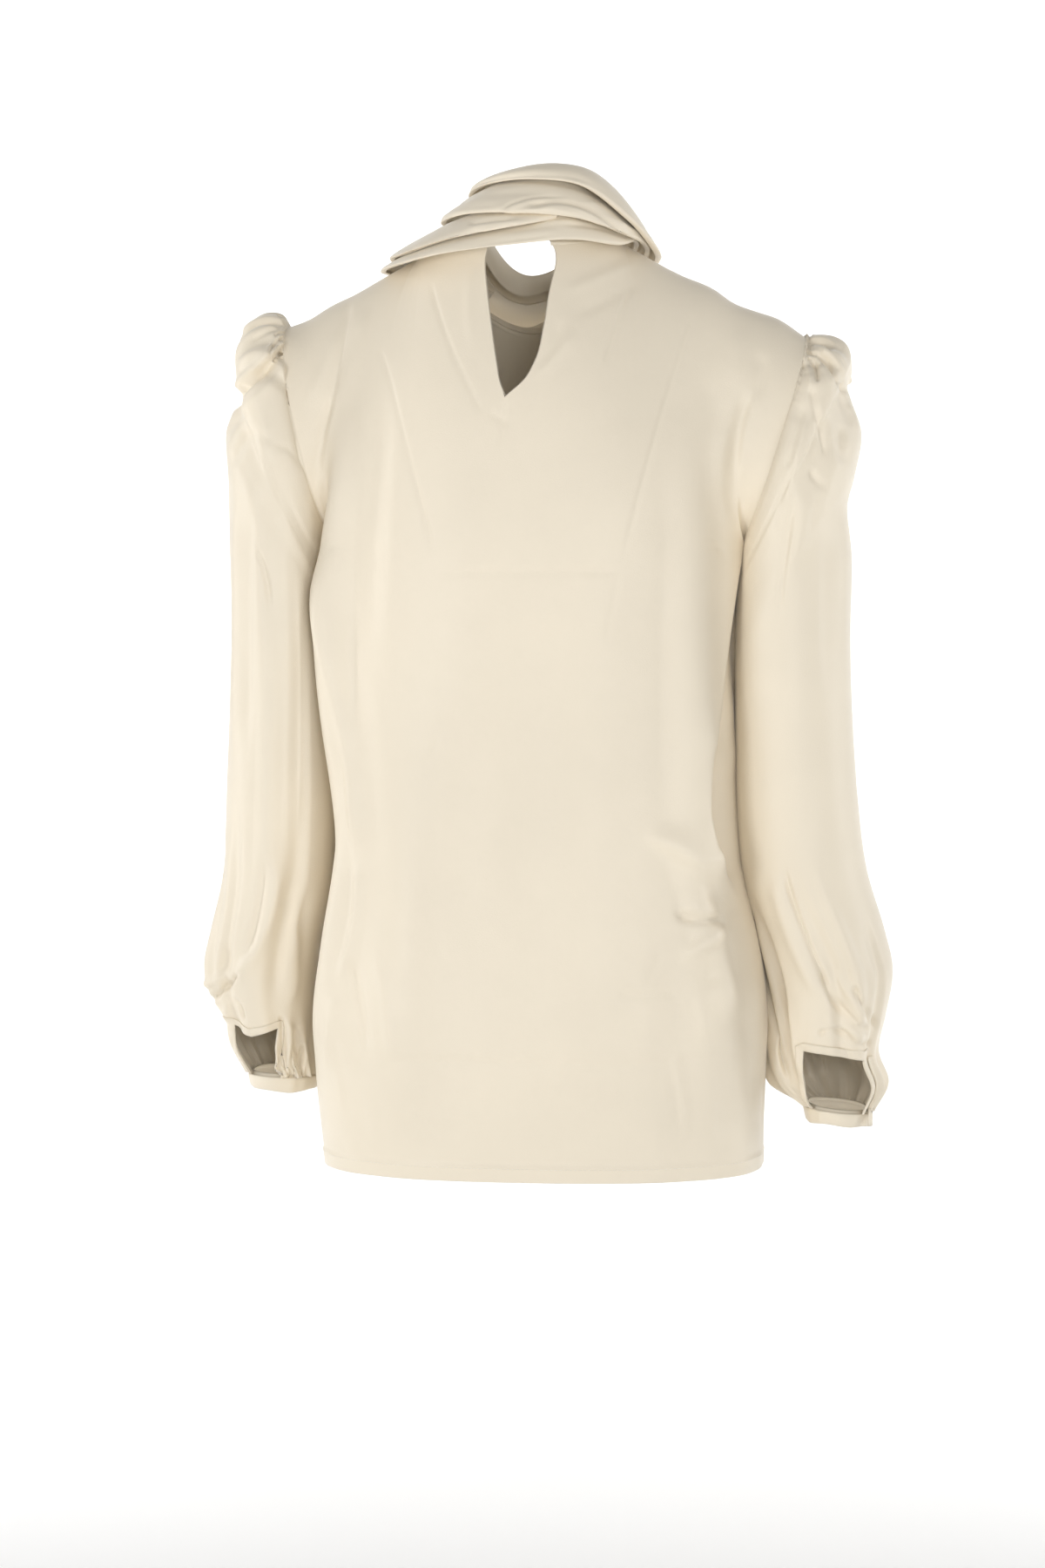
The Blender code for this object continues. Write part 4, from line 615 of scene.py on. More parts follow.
FRONT_CREASES = creases(
    (90, -50, 80, -100, 40, -150, 8, 10, 2.2, 0.3),
    (80, -48, 60, -90, 24, -125, 6, 6, -1.6, 0.3),
    (-56, -50, -40, -95, 0, -135, 7, 9, 2, 0.3),
    (-50, -48, -28, -80, 6, -105, 6, 5, -1.4, 0.3),
    (148, -70, 156, -120, 164, -180, 7, 5, -2.8, 0.22),
    (134, -76, 144, -130, 156, -210, 9, 10, 1.8, 0.3),
    (-144, -76, -140, -125, -134, -190, 7, 5, -2.6, 0.22),
    (-130, -80, -128, -140, -122, -220, 9, 10, 1.6, 0.3),
    (156, -230, 146, -350, 142, -460, 9, 11, 2.2, 0.26),
    (134, -280, 126, -390, 124, -490, 10, 9, -1.6, 0.3),
    (-122, -260, -116, -360, -122, -450, 9, 8, 2, 0.28),
    (-98, -300, -96, -400, -102, -500, 11, 11, -1.4, 0.32),
    (70, -190, 56, -330, 64, -480, 24, 26, 1.6, 0.38),
    (-40, -210, -52, -350, -40, -500, 24, 26, 1.5, 0.38),
    (12, -200, 10, -360, 14, -540, 20, 20, -1, 0.4),
    (140, -470, 146, -540, 144, -620, 8, 9, 1.6, 0.28),
    (118, -490, 112, -560, 120, -640, 8, 8, -1.2, 0.3),
    (-124, -470, -130, -550, -124, -630, 8, 8, 1.6, 0.28),
    (-98, -500, -92, -570, -100, -650, 9, 8, -1.2, 0.3),
    (112, -574, 0, -576, -118, -573, 1.8, 2.6, -0.4, 0.1),
    (82, -228, 10, -228, -56, -228, 1.8, 2.6, -0.4, 0.12),
    (118, -85, 102, -150, 82, -226, 2.4, 1.8, -0.4, 0.12),
    (-98, -85, -78, -150, -56, -226, 1.8, 2.4, -0.4, 0.12),
)

# The sleeves' and the panels' tables by side and by facing. A sleeve's hidden front takes the
# creases of the other sleeve.
SLEEVE_RINGS = {1: SLEEVE_LEFT, -1: SLEEVE_RIGHT}
SLEEVE_FOLDS = {1: SLEEVE_FOLDS_LEFT, -1: SLEEVE_FOLDS_RIGHT}
SLEEVE_CREASES = {1: LEFT_CREASES, -1: RIGHT_CREASES}
PANEL_CREASES = {1: BACK_CREASES, -1: FRONT_CREASES}

# Long folds round the neck: the stretch, its middle across it, how far it wanders and how often,
# its width and its height.
COLLAR_FOLDS = (
    ("roll", 0.72, 0.05, 1.5, 0.06, -0.0007),
    ("wrap", 0.45, 0.06, 1.0, 0.07, -0.0008),
    ("wrap", 0.62, 0.04, 2.0, 0.06, 0.0006),
)


# ---- curves -------------------------------------------------------------------------------
def smooth(knots, values, at):
    """A smooth curve through the values of a column."""
    knots, values, at = np.asarray(knots), np.asarray(values), np.asarray(at, float)
    if knots[0] > knots[-1]:
        knots, values = knots[::-1], values[::-1]
    slopes = np.gradient(values, knots)
    i = np.clip(np.searchsorted(knots, at) - 1, 0, len(knots) - 2)
    span = knots[i + 1] - knots[i]
    t = np.clip((at - knots[i]) / span, 0.0, 1.0)
    rise = t * t * (3.0 - 2.0 * t)
    start = span * slopes[i] * t * (1.0 - t) ** 2
    end = span * slopes[i + 1] * t * t * (t - 1.0)
    return values[i] * (1.0 - rise) + values[i + 1] * rise + start + end


def step(low, high, at):
    """0 below low, 1 above high, smooth between."""
    t = np.clip((np.asarray(at, float) - low) / (high - low), 0.0, 1.0)
    return t * t * (3.0 - 2.0 * t)


def bump(away):
    """1 in the middle, 0 from a distance of 1 on, smooth between."""
    return 0.5 + 0.5 * np.cos(np.pi * np.clip(away, 0.0, 1.0))


def seam_dip(away):
    """How far the cloth is drawn in at a distance from a seam."""
    return SEAM_DIP * np.exp(-(away / SEAM_REACH) ** 2) * step(0.0, 0.0004, away)


def signed_power(value, power):
    """A power that keeps the sign of its value."""
    return np.sign(value) * np.abs(value) ** power


def unit(vectors):
    """Vectors at a length of 1, along the last axis."""
    return vectors / np.maximum(np.linalg.norm(vectors, axis=-1, keepdims=True), 1e-12)


def outward_of(ring):
    """Level directions from the middle of a ring to its points."""
    out = ring - ring.mean(axis=0)
    out[:, 2] = 0.0
    return unit(out)


def by_length(points, share):
    """Points at these shares of the length of a drawn line."""
    steps = np.linalg.norm(np.diff(points, axis=0), axis=1)
    length = np.concatenate([[0.0], np.cumsum(steps)])
    length /= length[-1]
    return np.stack([np.interp(share, length, points[:, k]) for k in range(points.shape[1])], axis=1)


# ---- body panels --------------------------------------------------------------------------
def body_section(facing, z, share):
    """Points of half a level section, from the left side seam to the right one."""
    name = "back" if facing > 0 else "front"
    left, right, depth, square = (float(smooth(BODY["z"], BODY[key], z))
                                  for key in ("left", "right", name, name + "_square"))
    turn = np.linspace(0.0, math.pi, 241)
    x = (left + right) / 2 + (left - right) / 2 * signed_power(np.cos(turn), 2 / square)
    y = facing * HALF_GAP + (depth - facing * HALF_GAP) * signed_power(np.sin(turn), 2 / square)
    return by_length(np.stack([x, y, np.full_like(x, z)], axis=1), share)


def neckline(facing, turn):
    """Points of half the neckline, at angles from the left neck point to the right one."""
    depth = NECK_BACK_Y if facing > 0 else NECK_FRONT_Y
    low = NECK_BACK_Z if facing > 0 else NECK_FRONT_Z
    x = NECK_X + NECK_HALF_WIDTH * np.cos(turn)
    y = facing * HALF_GAP + (depth - facing * HALF_GAP) * np.sin(turn)
    ends = np.interp(turn, [0.0, math.pi], [SHOULDER_LEFT["z"][-1], SHOULDER_RIGHT["z"][-1]])
    return np.stack([x, y, ends + (low - ends) * np.sin(turn) ** 2], axis=1)


def top_edge(facing, share):
    """Points along the left shoulder seam, the neckline and the right shoulder seam."""
    share = np.asarray(share, float)
    first, last = NECK_SHARES
    drawn = []
    for seam in (SHOULDER_LEFT, SHOULDER_RIGHT):
        x = np.interp(np.linspace(0.0, 1.0, 24), np.linspace(0, 1, len(seam["x"])), seam["x"])
        z = smooth(seam["x"], seam["z"], x)
        drawn.append(np.stack([x, np.full_like(x, facing * HALF_GAP), z], axis=1))
    left = by_length(drawn[0], np.clip(share / first, 0.0, 1.0))
    right = by_length(drawn[1], np.clip((1.0 - share) / (1.0 - last), 0.0, 1.0))
    middle = neckline(facing, np.linspace(0.0, math.pi, 61))
    middle = by_length(middle, np.clip((share - first) / (last - first), 0.0, 1.0))
    return np.where((share < first)[:, None], left, np.where((share > last)[:, None], right, middle))


def armhole_edge(facing, side, way):
    """Points of the armhole from the underarm (way 0) up to the shoulder (way 1)."""
    turn = math.pi * (1.0 - np.asarray(way)) * facing
    points = sleeve_ring(side, 0.0, turn)
    points[:, 0] -= side * 2 * HALF_GAP
    points[:, 1] = facing * np.maximum(np.abs(points[:, 1]), HALF_GAP)
    return points


def upper_row(facing, way, share):
    """A row of a panel between the underarm and the shoulder."""
    low = body_section(facing, BODY["z"][-1], share)
    high = top_edge(facing, share)
    near = [top_edge(facing, np.clip(share + shift, 0.0, 1.0)) for shift in SOFTENING]
    ends = step(0.0, 0.12, share) * step(0.0, 0.12, 1.0 - share)
    soft = (np.mean(near, axis=0) - high) * ends[:, None]
    high = high + soft * (1.0 - float(step(0.45, 1.0, way)))
    turn = way * math.pi / 2
    reach = 1.0 + 0.9 * np.sin(np.pi * share) ** 6
    row = low + (high - low) * way
    fall = (CHEST_FALL if facing < 0 else BACK_FALL) * np.sin(np.pi * share) ** 2
    climb = math.sin(turn) * (1.0 - fall) + way * fall
    row[:, 1] = high[:, 1] + (low[:, 1] - high[:, 1]) * math.cos(turn) ** reach
    row[:, 2] = low[:, 2] + (high[:, 2] - low[:, 2]) * climb
    return row


def panel_row(facing, level, share):
    """A row of a panel. level runs from 0 at the hem through 1 at the underarm to 2."""
    if level <= 1.0:
        z = BODY["z"][0] + (BODY["z"][-1] - BODY["z"][0]) * level
        row = body_section(facing, z, share)
    else:
        row = upper_row(facing, level - 1.0, share)
        for side, near in ((1, share), (-1, 1.0 - share)):
            end = upper_row(facing, level - 1.0, np.array([0.0 if side > 0 else 1.0]))[0]
            edge = armhole_edge(facing, side, np.array([level - 1.0]))[0]
            row += (edge - end) * (np.clip(1.0 - near / 0.30, 0.0, 1.0) ** 2)[:, None]
    return row


def fold_height(facing, share, z):
    """Height of the body folds at a place on a panel."""
    turn = share * 180.0 if facing > 0 else 360.0 - share * 180.0
    total = np.zeros_like(share)
    for top, low, z_top, z_low, spread, height in zip(*FOLDS.values()):
        way = np.clip((z_top - z) / (z_top - z_low), 0.0, 1.0)
        middle = top + (low - top) * way
        total += height * bump(np.abs(turn - middle) / spread) * np.sin(np.pi * way) ** 1.3
    return total


def normals_of(rows):
    """Outward unit normals of a grid of points, from the differences of its neighbours."""
    along = np.gradient(rows, axis=0)
    across = np.gradient(rows, axis=1)
    return unit(np.cross(across, along))


def crease_height(creases, x, z):
    """Height of the creases in a table on a surface, from its places across (x) and up (z)."""
    total = np.zeros_like(x)
    ways = np.linspace(0.0, 1.0, CREASE_STEPS + 1)
    for row in zip(*creases.values()):
        x1, z1, x2, z2, x3, z3, left, right, height, fade = row
        reach = 3.2 * max(left, right)
        box = ((x > min(x1, x2, x3) - reach) & (x < max(x1, x2, x3) + reach)
               & (z > min(z1, z2, z3) - reach) & (z < max(z1, z2, z3) + reach))
        if not box.any():
            continue
        bend = (2 * x2 - (x1 + x3) / 2, 2 * z2 - (z1 + z3) / 2)
        line_x = (1 - ways) ** 2 * x1 + 2 * ways * (1 - ways) * bend[0] + ways ** 2 * x3
        line_z = (1 - ways) ** 2 * z1 + 2 * ways * (1 - ways) * bend[1] + ways ** 2 * z3
        px, pz = x[box], z[box]
        best = np.full(px.shape, 1e9)
        side = np.zeros(px.shape)
        along = np.zeros(px.shape)
        for k in range(CREASE_STEPS):
            dx, dz = line_x[k + 1] - line_x[k], line_z[k + 1] - line_z[k]
            part = ((px - line_x[k]) * dx + (pz - line_z[k]) * dz) / (dx * dx + dz * dz + 1e-18)
            part = np.clip(part, 0.0, 1.0)
            off_x, off_z = px - line_x[k] - part * dx, pz - line_z[k] - part * dz
            away = off_x ** 2 + off_z ** 2
            near = away < best
            best[near] = away[near]
            side[near] = (dx * off_z - dz * off_x)[near]
            along[near] = (ways[k] + part / CREASE_STEPS)[near]
        width = np.where(side > 0, left, right)
        fall = np.exp(-best / width ** 2)
        ends = step(0.0, fade, along) * step(0.0, fade, 1.0 - along)
        total[box] += height * fall * ends
    return total


def soften(grid, weight, rounds):
    """Evens out a grid of points where its weight is above 0; its outer rows stay."""
    for _ in range(rounds):
        near = (grid[:-2, 1:-1] + grid[2:, 1:-1] + grid[1:-1, :-2] + grid[1:-1, 2:]) / 4
        grid[1:-1, 1:-1] += weight[1:-1, 1:-1, None] * (near - grid[1:-1, 1:-1])
    return grid


def side_ease(facing, grid):
    """Lets the right side of the body out toward the sleeve, and folds the back over it."""
    y, z = grid[:, :, 1], grid[:, :, 2]
    along = step(-0.64, -0.50, z) * step(-0.198, -0.232, z)
    near = 1.0 - step(0.0, SIDE_DEPTH, np.abs(y))
    ease = SIDE_EASE * along * near
    if facing > 0:
        over = step(-0.40, -0.32, z) * step(-0.175, -0.225, z)
        ease += SIDE_FOLD * over * np.exp(-((y - SIDE_FOLD_Y) / SIDE_FOLD_DEPTH) ** 2)
    grid[:, :, 0] -= ease * (grid[:, :, 0] < 0.0)
    return grid


def new_object(name, points, faces, look):
    """A smooth mesh object in the scene."""
    data = bpy.data.meshes.new(name)
    data.from_pydata(points, [], faces)
    data.polygons.foreach_set("use_smooth", [True] * len(data.polygons))
    data.update()
    data.materials.append(look)
    made = bpy.data.objects.new(name, data)
    bpy.context.scene.collection.objects.link(made)
    return made


class Cloth:
    """A piece of cloth as it is put together from grids of points."""

    def __init__(self):
        self.points = []
        self.faces = []
        self.count = 0

    def add(self, points):
        """Adds points, a grid or a line of them, and gives their numbers in the same shape."""
        points = np.asarray(points, float)
        numbers = self.count + np.arange(points[..., 0].size).reshape(points.shape[:-1])
        self.points.append(points.reshape(-1, 3))
        self.count += points[..., 0].size
        return numbers

    def span(self, index, closed=False, flip=False, keep=None):
        """Adds the four-sided faces of a grid of point numbers."""
        if closed:
            index = np.concatenate([index, index[:, :1]], axis=1)
        quads = np.stack([index[:-1, :-1], index[:-1, 1:], index[1:, 1:], index[1:, :-1]], axis=-1)
        if keep is not None:
            quads = quads[keep]
        quads = quads.reshape(-1, 4)
        self.faces.append(quads[:, ::-1] if flip else quads)

    def strip(self, first, second, flip=False):
        """Adds the faces between two lines of point numbers."""
        self.span(np.stack([first, second]), flip=flip)

    def make(self, name, look, wall=CLOTH):
        """The finished piece: a thin closed wall, its inner side moved in along the normals."""
        points = np.concatenate(self.points)
        faces = np.concatenate(self.faces)
        used = np.unique(faces)
        place = np.full(len(points), -1)
        place[used] = np.arange(len(used))
        points, faces = points[used], place[faces]
        normal = np.zeros_like(points)
        across = points[faces[:, 2]] - points[faces[:, 0]]
        other = points[faces[:, 3]] - points[faces[:, 1]]
        for corner in range(4):
            np.add.at(normal, faces[:, corner], np.cross(across, other))
        normal = unit(normal)
        edges = np.concatenate([faces[:, [k, (k + 1) % 4]] for k in range(4)])
        code = edges[:, 0] * len(points) + edges[:, 1]
        back = edges[:, 1] * len(points) + edges[:, 0]
        rim = edges[~np.isin(code, back)]
        count = len(points)
        sides = np.stack([rim[:, 1], rim[:, 0], rim[:, 0] + count, rim[:, 1] + count], axis=1)
        all_faces = np.concatenate([faces, faces[:, ::-1] + count, sides])
        both = np.concatenate([points, points - normal * wall])
        made = new_object(name, both.tolist(), all_faces.tolist(), look)
        on_rim = np.zeros(count, bool)
        on_rim[rim.ravel()] = True
        self.thin_inner(made, count + np.flatnonzero(~on_rim), len(faces) / len(all_faces))
        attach(made, "root")
        return made

    def thin_inner(self, made, inner, share):
        """Leaves fewer faces on the hidden inner side, whose share of the faces is given."""
        group = made.vertex_groups.new(name="inner")
        group.add(inner.tolist(), 1.0, "REPLACE")
        fewer = made.modifiers.new("fewer", "DECIMATE")
        fewer.ratio = 1.0 - share * (1.0 - INNER_KEPT)
        fewer.vertex_group = "inner"
        ready = made.evaluated_get(bpy.context.evaluated_depsgraph_get())
        old = made.data
        made.data = bpy.data.meshes.new_from_object(ready)
        made.data.name = made.name
        made.modifiers.clear()
        made.vertex_groups.clear()
        bpy.data.meshes.remove(old)


def panel_levels():
    """Rows of a panel, closer at the hem and about the shoulders."""
    hem = HEM_TURN / (BODY["z"][-1] - BODY["z"][0])
    low = np.concatenate([[0.0, hem * 0.06, hem * 0.25, hem * 0.6, hem * 0.9, hem, hem * 1.1],
                          np.linspace(hem * 1.4, 1.0, LOW_ROWS)])
    high = 1.0 + np.linspace(0.0, 1.0, HIGH_ROWS + 1)[1:] ** 0.95
    high[np.argmin(np.abs(high - 1.0 - KEYHOLE["way"][0]))] = 1.0 + KEYHOLE["way"][0]
    return np.concatenate([low, high])


def panel_grid(facing, levels, shares):
    """The outer face of a panel: a row of points for each level, with its folds and creases."""
    rows = np.array([panel_row(facing, level, share) for level, share in zip(levels, shares)])
    rows = side_ease(facing, rows)
    share = np.array(shares)
    level = np.array(levels)[:, None]
    low = step(0.80, 0.95, level) * step(1.25, 1.08, level)
    edge = np.minimum(share, 1.0 - share)
    rows = soften(rows, low * step(0.14, 0.06, edge), UNDERARM_ROUNDS)
    normal = normals_of(rows) * facing
    sides = step(0.0, 0.05, share) * step(0.0, 0.05, 1.0 - share)
    height = fold_height(facing, share, rows[:, :, 2]) * sides * step(0.0, 0.35, 2.0 - level)
    seams = step(0.0, 0.02, share) * step(0.0, 0.02, 1.0 - share) * step(0.0, 0.04, 2.0 - level)
    height += crease_height(PANEL_CREASES[facing], rows[:, :, 0], rows[:, :, 2]) * seams
    for column in (0, -1):
        away = np.linalg.norm(rows - rows[:, column, None], axis=2)
        height -= seam_dip(away) * (np.abs(share[:, column, None] - 0.5) > 0.49)
    turned = 1.0 - step(HEM_TURN, HEM_TURN + 0.0008, rows[:, :, 2] - BODY["z"][0])
    height += HEM_STEP * turned * sides
    return rows + normal * height[:, :, None]


def ring_centre(side):
    """The middle of a sleeve's top ring."""
    ring = sleeve_ring(side, 0.0, np.linspace(0.0, 2 * math.pi, 73)[:-1])
    return ring.mean(axis=0)


def turnings(points, direction, depth=ALLOWANCE):
    """The points of a seam's turnings, inside the blouse."""
    return points + unit(np.asarray(direction, float)) * depth


def side_turnings(cloth, index, grid, levels, side, flip):
    """Turnings down one side edge of a panel, along the side seam and round the armhole."""
    edge = grid[:, 0] if side > 0 else grid[:, -1]
    numbers = index[:, 0] if side > 0 else index[:, -1]
    inward = np.tile([-float(side), 0.0, 0.0], (len(edge), 1))
    toward = unit(ring_centre(side) - edge)
    high = step(0.97, 1.03, levels)[:, None]
    extra = cloth.add(turnings(edge, inward * (1 - high) + toward * high))
    cloth.strip(numbers, extra, flip=flip)


def hem_turning(cloth, index, grid, facing, flip):
    """The turned-up hem, inside the bottom edge of a panel."""
    row = grid[0]
    normal = normals_of(grid[:3])[0] * facing
    normal[:, 2] = 0.0
    last = index[0]
    for inset, rise in HEM_ROWS:
        extra = cloth.add(row - normal * inset + np.array([0.0, 0.0, rise]))
        cloth.strip(last, extra, flip=flip)
        last = extra


def make_front(look):
    """The front panel, with its points for the stitches."""
    levels = panel_levels()
    share = np.linspace(0.0, 1.0, FRONT_COLUMNS + 1)
    grid = panel_grid(-1, levels, [share] * len(levels))
    cloth = Cloth()
    index = cloth.add(grid)
    cloth.span(index, flip=True)
    side_turnings(cloth, index, grid, levels, 1, False)
    side_turnings(cloth, index, grid, levels, -1, True)
    extra = cloth.add(turnings(grid[-1], [0.0, 0.0, -1.0]))
    cloth.strip(index[-1], extra, flip=True)
    hem_turning(cloth, index, grid, -1, False)
    return cloth.make("front_cloth", look), grid


def keyhole_shares(level):
    """Where the two edges of the slit cross a row of the back panel."""
    fine = np.linspace(0.0, 1.0, 201)
    x = panel_row(1, level, fine)[:, 0]
    way = level - 1.0
    return [float(np.interp(-float(smooth(KEYHOLE["way"], KEYHOLE[key], way)), -x, fine))
            for key in ("left", "right")]


def back_shares(left_edge, right_edge):
    """Shares of the columns of the back panel to the left and to the right of the slit."""
    first, last = NECK_SHARES
    column = np.linspace(0.0, 1.0, BACK_COLUMNS + 1)
    left = np.interp(column, [0, 2 * first, 1.0], [0.0, first, left_edge])
    right = np.interp(column, [0, 2 * last - 1.0, 1.0], [right_edge, last, 1.0])
    return left, right


def make_back(look):
    """The back panel, in two halves that share their middle points up to the slit."""
    start = 1.0 + KEYHOLE["way"][0]
    levels = panel_levels()
    middle = keyhole_shares(start)[0]
    edges = [keyhole_shares(level) if level > start else (middle, middle) for level in levels]
    left = panel_grid(1, levels, [back_shares(*edge)[0] for edge in edges])
    right = panel_grid(1, levels, [back_shares(*edge)[1] for edge in edges])
    joined = levels <= start + 1e-9
    cloth = Cloth()
    left_index = cloth.add(left)
    right_index = cloth.add(right)
    right_index[joined, 0] = left_index[joined, -1]
    cloth.span(left_index)
    cloth.span(right_index)
    side_turnings(cloth, left_index, left, levels, 1, True)
    side_turnings(cloth, right_index, right, levels, -1, False)
    for index, grid in ((left_index, left), (right_index, right)):
        extra = cloth.add(turnings(grid[-1], [0.0, 0.0, -1.0]))
        cloth.strip(index[-1], extra)
    whole = np.concatenate([left[:, :-1], right], axis=1)
    whole_index = np.concatenate([left_index[:, :-1], right_index], axis=1)
    hem_turning(cloth, whole_index, whole, 1, True)
    open_rows = ~joined
    open_rows[np.argmax(open_rows) - 1] = True
    for index, grid, inner, flip in ((left_index, left, -2, False), (right_index, right, 1, True)):
        edge = 0 if inner == 1 else -1
        rim = grid[open_rows][:, edge]
        back = unit(grid[open_rows][:, inner] - rim)
        normal = normals_of(grid)[open_rows][:, edge]
        last = index[open_rows][:, edge]
        for inset, inward in KEYHOLE_ROWS:
            extra = cloth.add(rim - normal * inset + back * inward)
            cloth.strip(last, extra, flip=flip)
            last = extra
    return cloth.make("back_cloth", look), whole, levels


# ---- sleeves ------------------------------------------------------------------------------
def sleeve_ring(side, way, turn):
    """Points of a sleeve ring at angles in radians, before its folds."""
    rings = SLEEVE_RINGS[side]
    at = np.clip(way, 0.0, 1.0) * (len(rings["y"]) - 1)
    index = np.arange(len(rings["y"]))
    out_x, out_z, in_x, in_z, y, depth, square = (
        float(smooth(index, rings[key], at)) for key in rings)
    turn = np.asarray(turn, float)
    reach = signed_power(np.cos(turn), 2 / square)
    width = signed_power(np.sin(turn), 2 / square)
    bow = side * ARMHOLE_BOW[side] * max(0.0, 1.0 - way / 0.5) ** 1.5
    x = (out_x + in_x) / 2 + (out_x - in_x) / 2 * reach + bow * np.abs(width)
    z = (out_z + in_z) / 2 + (out_z - in_z) / 2 * reach
    return np.stack([x, y + depth * width, z], axis=1)


def sleeve_fold_height(side, way, turn):
    """Height of the sleeve folds and the gathers, turn in degrees."""
    total = np.zeros_like(turn)
    for top, low, way_top, way_low, spread, height in zip(*SLEEVE_FOLDS[side].values()):
        part = np.clip((way - way_top) / (way_low - way_top), 0.0, 1.0)
        middle = top + (low - top) * part
        away = np.abs((turn - middle + 180.0) % 360.0 - 180.0)
        if way_top > 0.0:
            along = math.sin(math.pi * part)
        else:
            along = math.sin(math.pi * min(1.0, 0.12 + 0.88 * part))
            along *= HEAD_SHARE if top > 8.0 else 1.0
        total += height * bump(away / (spread * (1.0 + 0.5 * part))) * along
    wave = np.cos(np.radians(turn) * WRIST_GATHERS + 0.9 * np.sin(np.radians(turn) * 2.0))
    begin = float(step(WRIST_GATHER_WAY, 0.97, way))
    return total + WRIST_GATHER_HEIGHT * wave * begin


def head_gathers(side, way, turn):
    """Fine gathers of the sleeve's head, uneven in width and length."""
    near = np.abs(turn) < HEAD_TURN
    phase = turn / 9.2 + 0.55 * np.sin(np.radians(turn * 5.0 + 40.0 * side))
    wave = np.cos(2 * math.pi * phase)
    sharp = 1.0 - 2.0 * np.abs(wave) ** 0.7
    length = 0.085 + 0.05 * np.sin(np.radians(turn * 11.0 + 70.0)) ** 2
    fade = np.clip(1.0 - way / length, 0.0, 1.0) ** 1.3
    phase = turn / 4.1 + 0.7 * np.sin(np.radians(turn * 7.0 + 15.0 * side))
    pucker = np.cos(2 * math.pi * phase) * (0.7 + 0.3 * np.sin(np.radians(turn * 17.0)))
    short = 0.030 + 0.022 * np.sin(np.radians(turn * 13.0 + 20.0)) ** 2
    pucker *= np.clip(1.0 - way / short, 0.0, 1.0) ** 0.8
    ends = step(0.0, 16.0, HEAD_TURN - np.abs(turn))
    return (-HEAD_SHARPNESS * sharp * fade + HEAD_PUCKER * pucker) * ends * near


def wrist_gathers(side, way, turn):
    """Fine gathers above the cuff."""
    phase = turn / 8.5 + 0.8 * np.sin(np.radians(turn * 3.0 + 25.0 * side))
    wave = np.cos(2 * math.pi * phase) * (0.75 + 0.25 * np.sin(np.radians(turn * 5.0)))
    reach = 0.045 + 0.04 * np.sin(np.radians(turn * 4.0 + 30.0)) ** 2
    return WRIST_PUCKER * wave * np.clip(1.0 - (1.0 - way) / reach, 0.0, 1.0) ** 1.1


def sleeve_turns(side, facing, way):
    """Angles of the columns of half a sleeve: closer at the gathered head, even at the wrist."""
    index = np.arange(SLEEVE_COLUMNS + 1)
    head = 180.0 * (index / SLEEVE_COLUMNS) ** 1.35
    start = SLIT_WAYS[side]
    down = min(1.0, max(0.0, (way - start) / (1.0 - start)))
    high_edges, low_edges = (np.array(turns) for turns in SLIT_TURNS[side])
    edges = high_edges + (low_edges - high_edges) * down
    if facing > 0:
        low = np.interp(index, [0, *SLIT_COLUMNS, SLEEVE_COLUMNS], [0.0, *edges, 180.0])
    else:
        low = 180.0 * index / SLEEVE_COLUMNS
    share = float(step(0.25, 0.85, way))
    return facing * (head * (1.0 - share) + low * share)


def sleeve_ways(side):
    """Rows of a sleeve, closer at its head and its wrist."""
    ways = np.concatenate([np.linspace(0.0, 0.16, HEAD_ROWS)[:-1],
                           np.linspace(0.16, 0.80, SLEEVE_ROWS)[:-1],
                           np.linspace(0.80, 1.0, WRIST_ROWS)])
    for mark in (SLIT_WAYS[side], SLIT_WAYS[side] - BINDING_WAY):
        ways[np.argmin(np.abs(ways - mark))] = mark
    return ways


def slit_warp(side, ring, ways, turns):
    """Lets the top edge of the slit run unevenly, by moving rows up or down the sleeve."""
    start = SLIT_WAYS[side]
    part = np.where(ways < start, step(start - 0.10, start, ways), step(1.0, start, ways))
    high_edges = SLIT_TURNS[side][0]
    across = (turns - high_edges[0]) / (high_edges[1] - high_edges[0])
    shift = np.interp(across, *SLIT_SHIFTS[side])
    ring[:, :, 2] -= shift * part[:, None]
    return ring


